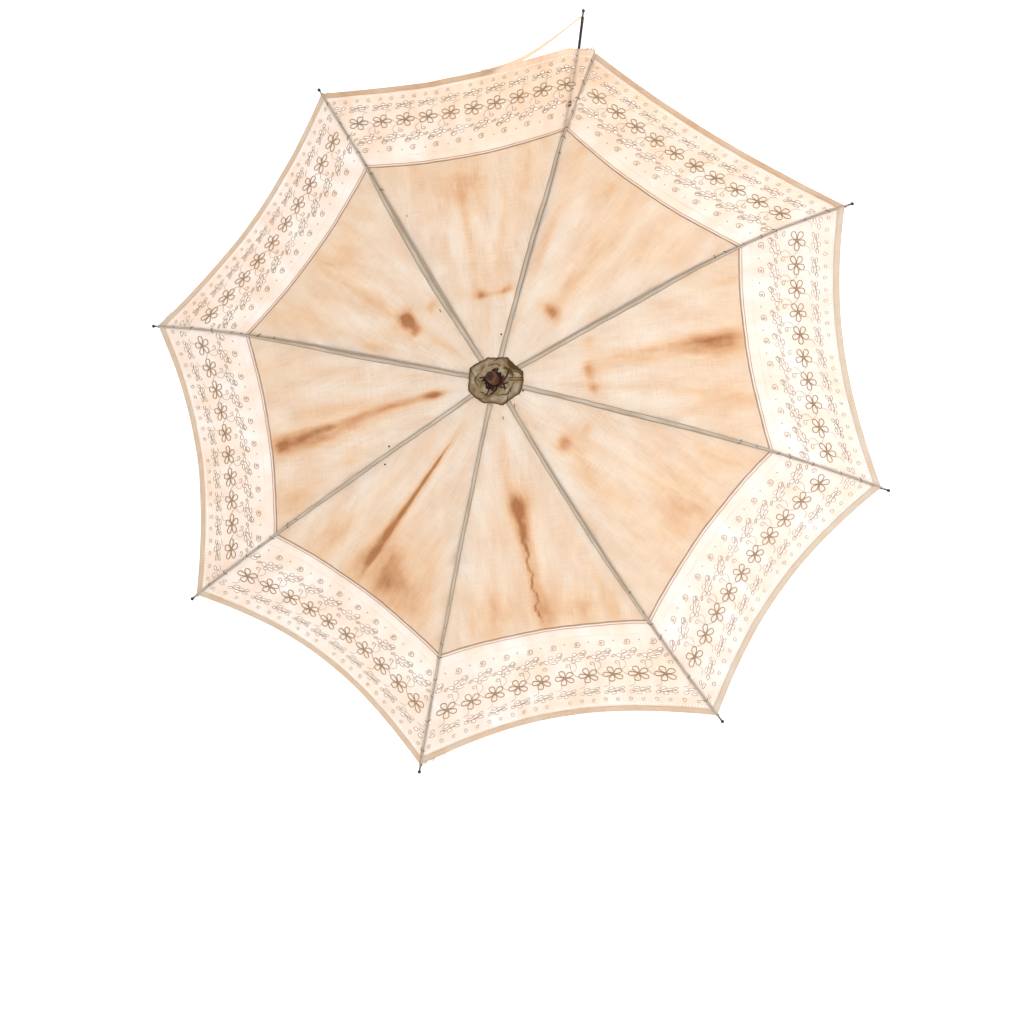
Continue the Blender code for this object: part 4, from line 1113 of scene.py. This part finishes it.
# ---------------------------------------------------------------- wood, horn and metal
def make_hard_parts():
    """Each hard CAD node is shown by a copy of its mesh, with its loose triangles merged and its round
    surfaces smoothed up to the sharp edges."""
    for finish, (slot, names) in HARD_PARTS.items():
        for name in names:
            source = frame["nodes"][name]
            bm = bmesh.new()
            bm.from_mesh(source.data)
            bmesh.ops.remove_doubles(bm, verts=bm.verts, dist=2e-6)
            mesh = bpy.data.meshes.new(f"{name}_finished")
            bm.to_mesh(mesh)
            bm.free()
            mesh.materials.clear()
            mesh.materials.append(bpy.data.materials[finish])
            mesh.shade_smooth()
            mesh.set_sharp_from_angle(angle=math.radians(38))
            piece = bpy.data.objects.new(f"{name}_finished", mesh)
            bpy.context.scene.collection.objects.link(piece)
            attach(piece, source["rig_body"])
            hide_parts(name)


# ---------------------------------------------------------------- the stage
def view_matrix():
    """The camera's place and turn, from the tilt of the stick away from it and its roll, about the hub."""
    toward = np.array([math.cos(HUB_TURN), math.sin(HUB_TURN), 0])
    round_way = np.array([-math.sin(HUB_TURN), math.cos(HUB_TURN), 0])
    up = np.array([0, 0, 1.0])
    tilt, roll = (math.cos(VIEW_TILT), math.sin(VIEW_TILT)), (math.cos(VIEW_ROLL), math.sin(VIEW_ROLL))
    right = tilt[0] * roll[0] * toward - roll[1] * round_way + tilt[1] * roll[0] * up
    above = tilt[0] * roll[1] * toward + roll[0] * round_way + tilt[1] * roll[1] * up
    back = -tilt[1] * toward + tilt[0] * up
    place = np.array([0, 0, CROWN_Z]) + VIEW_RIGHT * right + VIEW_UP * above + VIEW_BACK * back
    matrix = Matrix.Identity(4)
    for axis, column in enumerate((right, above, back, place)):
        for row in range(3):
            matrix[row][axis] = column[row]
    return matrix, right, above


def soft_light(name, place, size, energy, facing_up=False):
    """A round white light that the camera doesn't see."""
    data = bpy.data.lights.new(name, "AREA")
    data.shape, data.size, data.energy = "DISK", size, energy
    light = bpy.data.objects.new(name, data)
    light.location = place
    if facing_up:
        light.rotation_euler = (math.pi, 0, 0)
    light.visible_camera = False
    bpy.context.scene.collection.objects.link(light)


def make_stage(settings):
    """The camera, the pale floor that glows a little, the pale room and three soft lights."""
    scene = bpy.context.scene
    scene.view_settings.view_transform = "Standard"
    matrix, right, above = view_matrix()
    camera = bpy.data.objects.new("Camera", bpy.data.cameras.new("Camera"))
    camera.data.lens, camera.data.sensor_width, camera.data.clip_end = LENS, 36.0, 60.0
    camera.matrix_world = matrix
    scene.collection.objects.link(camera)
    scene.camera = camera
    tree = start_material("Pale floor")
    place = own_place(tree)
    shade = ramp(tree, noise(tree, place, 3.0, 3), ((0.3, (0.90, 0.90, 0.895)), (0.7, (0.93, 0.93, 0.925))))
    finish_with(tree, {"Base Color": shade, "Roughness": 0.9, "Specular IOR Level": 0.1,
                       "Emission Color": (1, 1, 1, 1), "Emission Strength": settings.floor})
    ground = CAD_BOX[0][2]
    reach = np.linspace(-9, 9, 13)
    points = np.stack([*np.meshgrid(reach, reach), np.full((13, 13), ground - 0.0005)], -1).reshape(-1, 3)
    floor = new_piece("floor", points, [upward(points, grid_faces(13, 13))], ("Pale floor",))
    world = bpy.data.worlds.new("Pale room")
    world.use_nodes = True
    world.node_tree.nodes["Background"].inputs["Color"].default_value = (1.0, 1.0, 1.0, 1.0)
    world.node_tree.nodes["Background"].inputs["Strength"].default_value = settings.room
    scene.world = world
    soft_light("Top light", (0.9 * right[0] - 0.2, 0.9 * right[1], 3.4), 2.6, settings.top)
    soft_light("Under light", (0, 0, ground + 0.02), 1.1, settings.under, True)
    side = 0.30 * right - 0.02 * above
    soft_light("Right under light", (side[0], side[1], 0.18), 0.42, settings.right, True)


# ---------------------------------------------------------------- settings
class ParasolCoverSettings(bpy.types.PropertyGroup):
    hem_wave: FloatProperty(name="Hem wave", description="Height of the small waves at the hem", default=0.0009,
                            min=0.0, max=0.004, unit="LENGTH")


class ParasolLaceSettings(bpy.types.PropertyGroup):
    pitch: FloatProperty(name="Pitch", description="Distance from one flower to the next", default=0.0272,
                         min=0.02, max=0.04, unit="LENGTH")
    petal_length: FloatProperty(name="Petal length", description="Length of a petal's loop", default=0.0098,
                                min=0.004, max=0.014, unit="LENGTH")
    petal_width: FloatProperty(name="Petal width", description="Width of a petal's loop", default=0.0072,
                               min=0.002, max=0.009, unit="LENGTH")


class ParasolColourSettings(bpy.types.PropertyGroup):
    cotton: FloatVectorProperty(name="Cotton", description="The gores' palest cotton", default=(0.835, 0.775, 0.71),
                                min=0, max=1, subtype="COLOR")
    lace: FloatVectorProperty(name="Lace", description="The lace border's cotton", default=(0.895, 0.86, 0.84),
                              min=0, max=1, subtype="COLOR")
    stitch: FloatVectorProperty(name="Stitch", description="The palest embroidery thread", default=(0.72, 0.56, 0.42),
                                min=0, max=1, subtype="COLOR")


class ParasolStageSettings(bpy.types.PropertyGroup):
    room: FloatProperty(name="Room", description="Brightness of the pale room", default=0.64, min=0, max=5)
    top: FloatProperty(name="Top light", description="Power of the soft light above", default=34, min=0, max=500,
                       unit="POWER")
    floor: FloatProperty(name="Floor", description="Glow of the pale floor", default=0.62, min=0.0, max=5.0)
    under: FloatProperty(name="Under light", description="Power of the light through the cloth", default=11.5,
                         min=0, max=500, unit="POWER")
    right: FloatProperty(name="Right under light", description="Power of the light under the right-hand lace",
                         default=2.0, min=0, max=500, unit="POWER")


# ---------------------------------------------------------------- operators
class PARASOL_OT_stage(bpy.types.Operator):
    """Set up the camera, the pale floor and the soft lights"""
    bl_idname = "parasol.stage"
    bl_label = "Stage"

    def execute(self, context):
        make_stage(context.scene.parasol_stage)
        return {"FINISHED"}


class PARASOL_OT_finishes(bpy.types.Operator):
    """Mix the cloth, thread, wood and metal finishes"""
    bl_idname = "parasol.finishes"
    bl_label = "Finishes"

    def execute(self, context):
        make_finishes()
        return {"FINISHED"}


class PARASOL_OT_gores(bpy.types.Operator):
    """Cut and stretch the eight cotton gores"""
    bl_idname = "parasol.gores"
    bl_label = "Cotton gores"

    def execute(self, context):
        for gore in range(RIBS):
            make_gore(gore)
        return {"FINISHED"}


class PARASOL_OT_lace(bpy.types.Operator):
    """Punch, embroider and stretch the eight lace borders"""
    bl_idname = "parasol.lace"
    bl_label = "Lace borders"

    def execute(self, context):
        settings = context.scene.parasol_lace
        flat, faces = flat_lace(settings.pitch)
        if not len(faces):
            raise RuntimeError("the lace border has no cloth left")
        blocks = stitch_blocks(settings)
        for gore in range(RIBS):
            make_lace(gore, flat, faces)
            make_stitches(gore, blocks)
        return {"FINISHED"}


class PARASOL_OT_trims(bpy.types.Operator):
    """Sew the felled seams, the hems, the rib tapes and the torn edges"""
    bl_idname = "parasol.trims"
    bl_label = "Seams, hems and tapes"

    def execute(self, context):
        for index in range(RIBS):
            make_trim(index)
            make_tape(index)
            make_ties(index)
        make_torn_ribbon()
        make_frays()
        make_specks()
        return {"FINISHED"}


class PARASOL_OT_rosette(bpy.types.Operator):
    """Crumple the rosette over the crown and fray the tatters round the ferrule"""
    bl_idname = "parasol.rosette"
    bl_label = "Rosette"

    def execute(self, context):
        make_rosette()
        make_tatters()
        return {"FINISHED"}


class PARASOL_OT_hard_parts(bpy.types.Operator):
    """Finish the stick, handle, runner, ribs, stretchers and ferrule"""
    bl_idname = "parasol.hard_parts"
    bl_label = "Wood and metal"

    def execute(self, context):
        make_hard_parts()
        return {"FINISHED"}


OPERATORS = (PARASOL_OT_stage, PARASOL_OT_finishes, PARASOL_OT_gores, PARASOL_OT_lace, PARASOL_OT_trims,
             PARASOL_OT_rosette, PARASOL_OT_hard_parts)
SETTINGS = {"parasol_cover": ParasolCoverSettings, "parasol_lace": ParasolLaceSettings,
            "parasol_colours": ParasolColourSettings, "parasol_stage": ParasolStageSettings}


class PARASOL_PT_panel(bpy.types.Panel):
    """The parasol's settings and the steps that build it"""
    bl_idname = "PARASOL_PT_panel"
    bl_label = "Parasol"
    bl_space_type = "VIEW_3D"
    bl_region_type = "UI"
    bl_category = "Parasol"

    def draw(self, context):
        for name, group in SETTINGS.items():
            column = self.layout.column(align=True)
            for key in group.__annotations__:
                column.prop(getattr(context.scene, name), key)
        for operator in OPERATORS:
            self.layout.operator(operator.bl_idname)


def register():
    for name, group in SETTINGS.items():
        bpy.utils.register_class(group)
        setattr(bpy.types.Scene, name, PointerProperty(type=group))
    for made in OPERATORS + (PARASOL_PT_panel,):
        bpy.utils.register_class(made)


def unregister():
    for made in (PARASOL_PT_panel,) + OPERATORS[::-1]:
        bpy.utils.unregister_class(made)
    for name, group in SETTINGS.items():
        delattr(bpy.types.Scene, name)
        bpy.utils.unregister_class(group)


def main():
    """Builds the whole parasol in order."""
    register()
    for operator in OPERATORS:
        if getattr(bpy.ops.parasol, operator.bl_idname.split(".")[1])() != {"FINISHED"}:
            raise RuntimeError(f"{operator.bl_label} didn't finish")


if __name__ == "__main__":
    main()
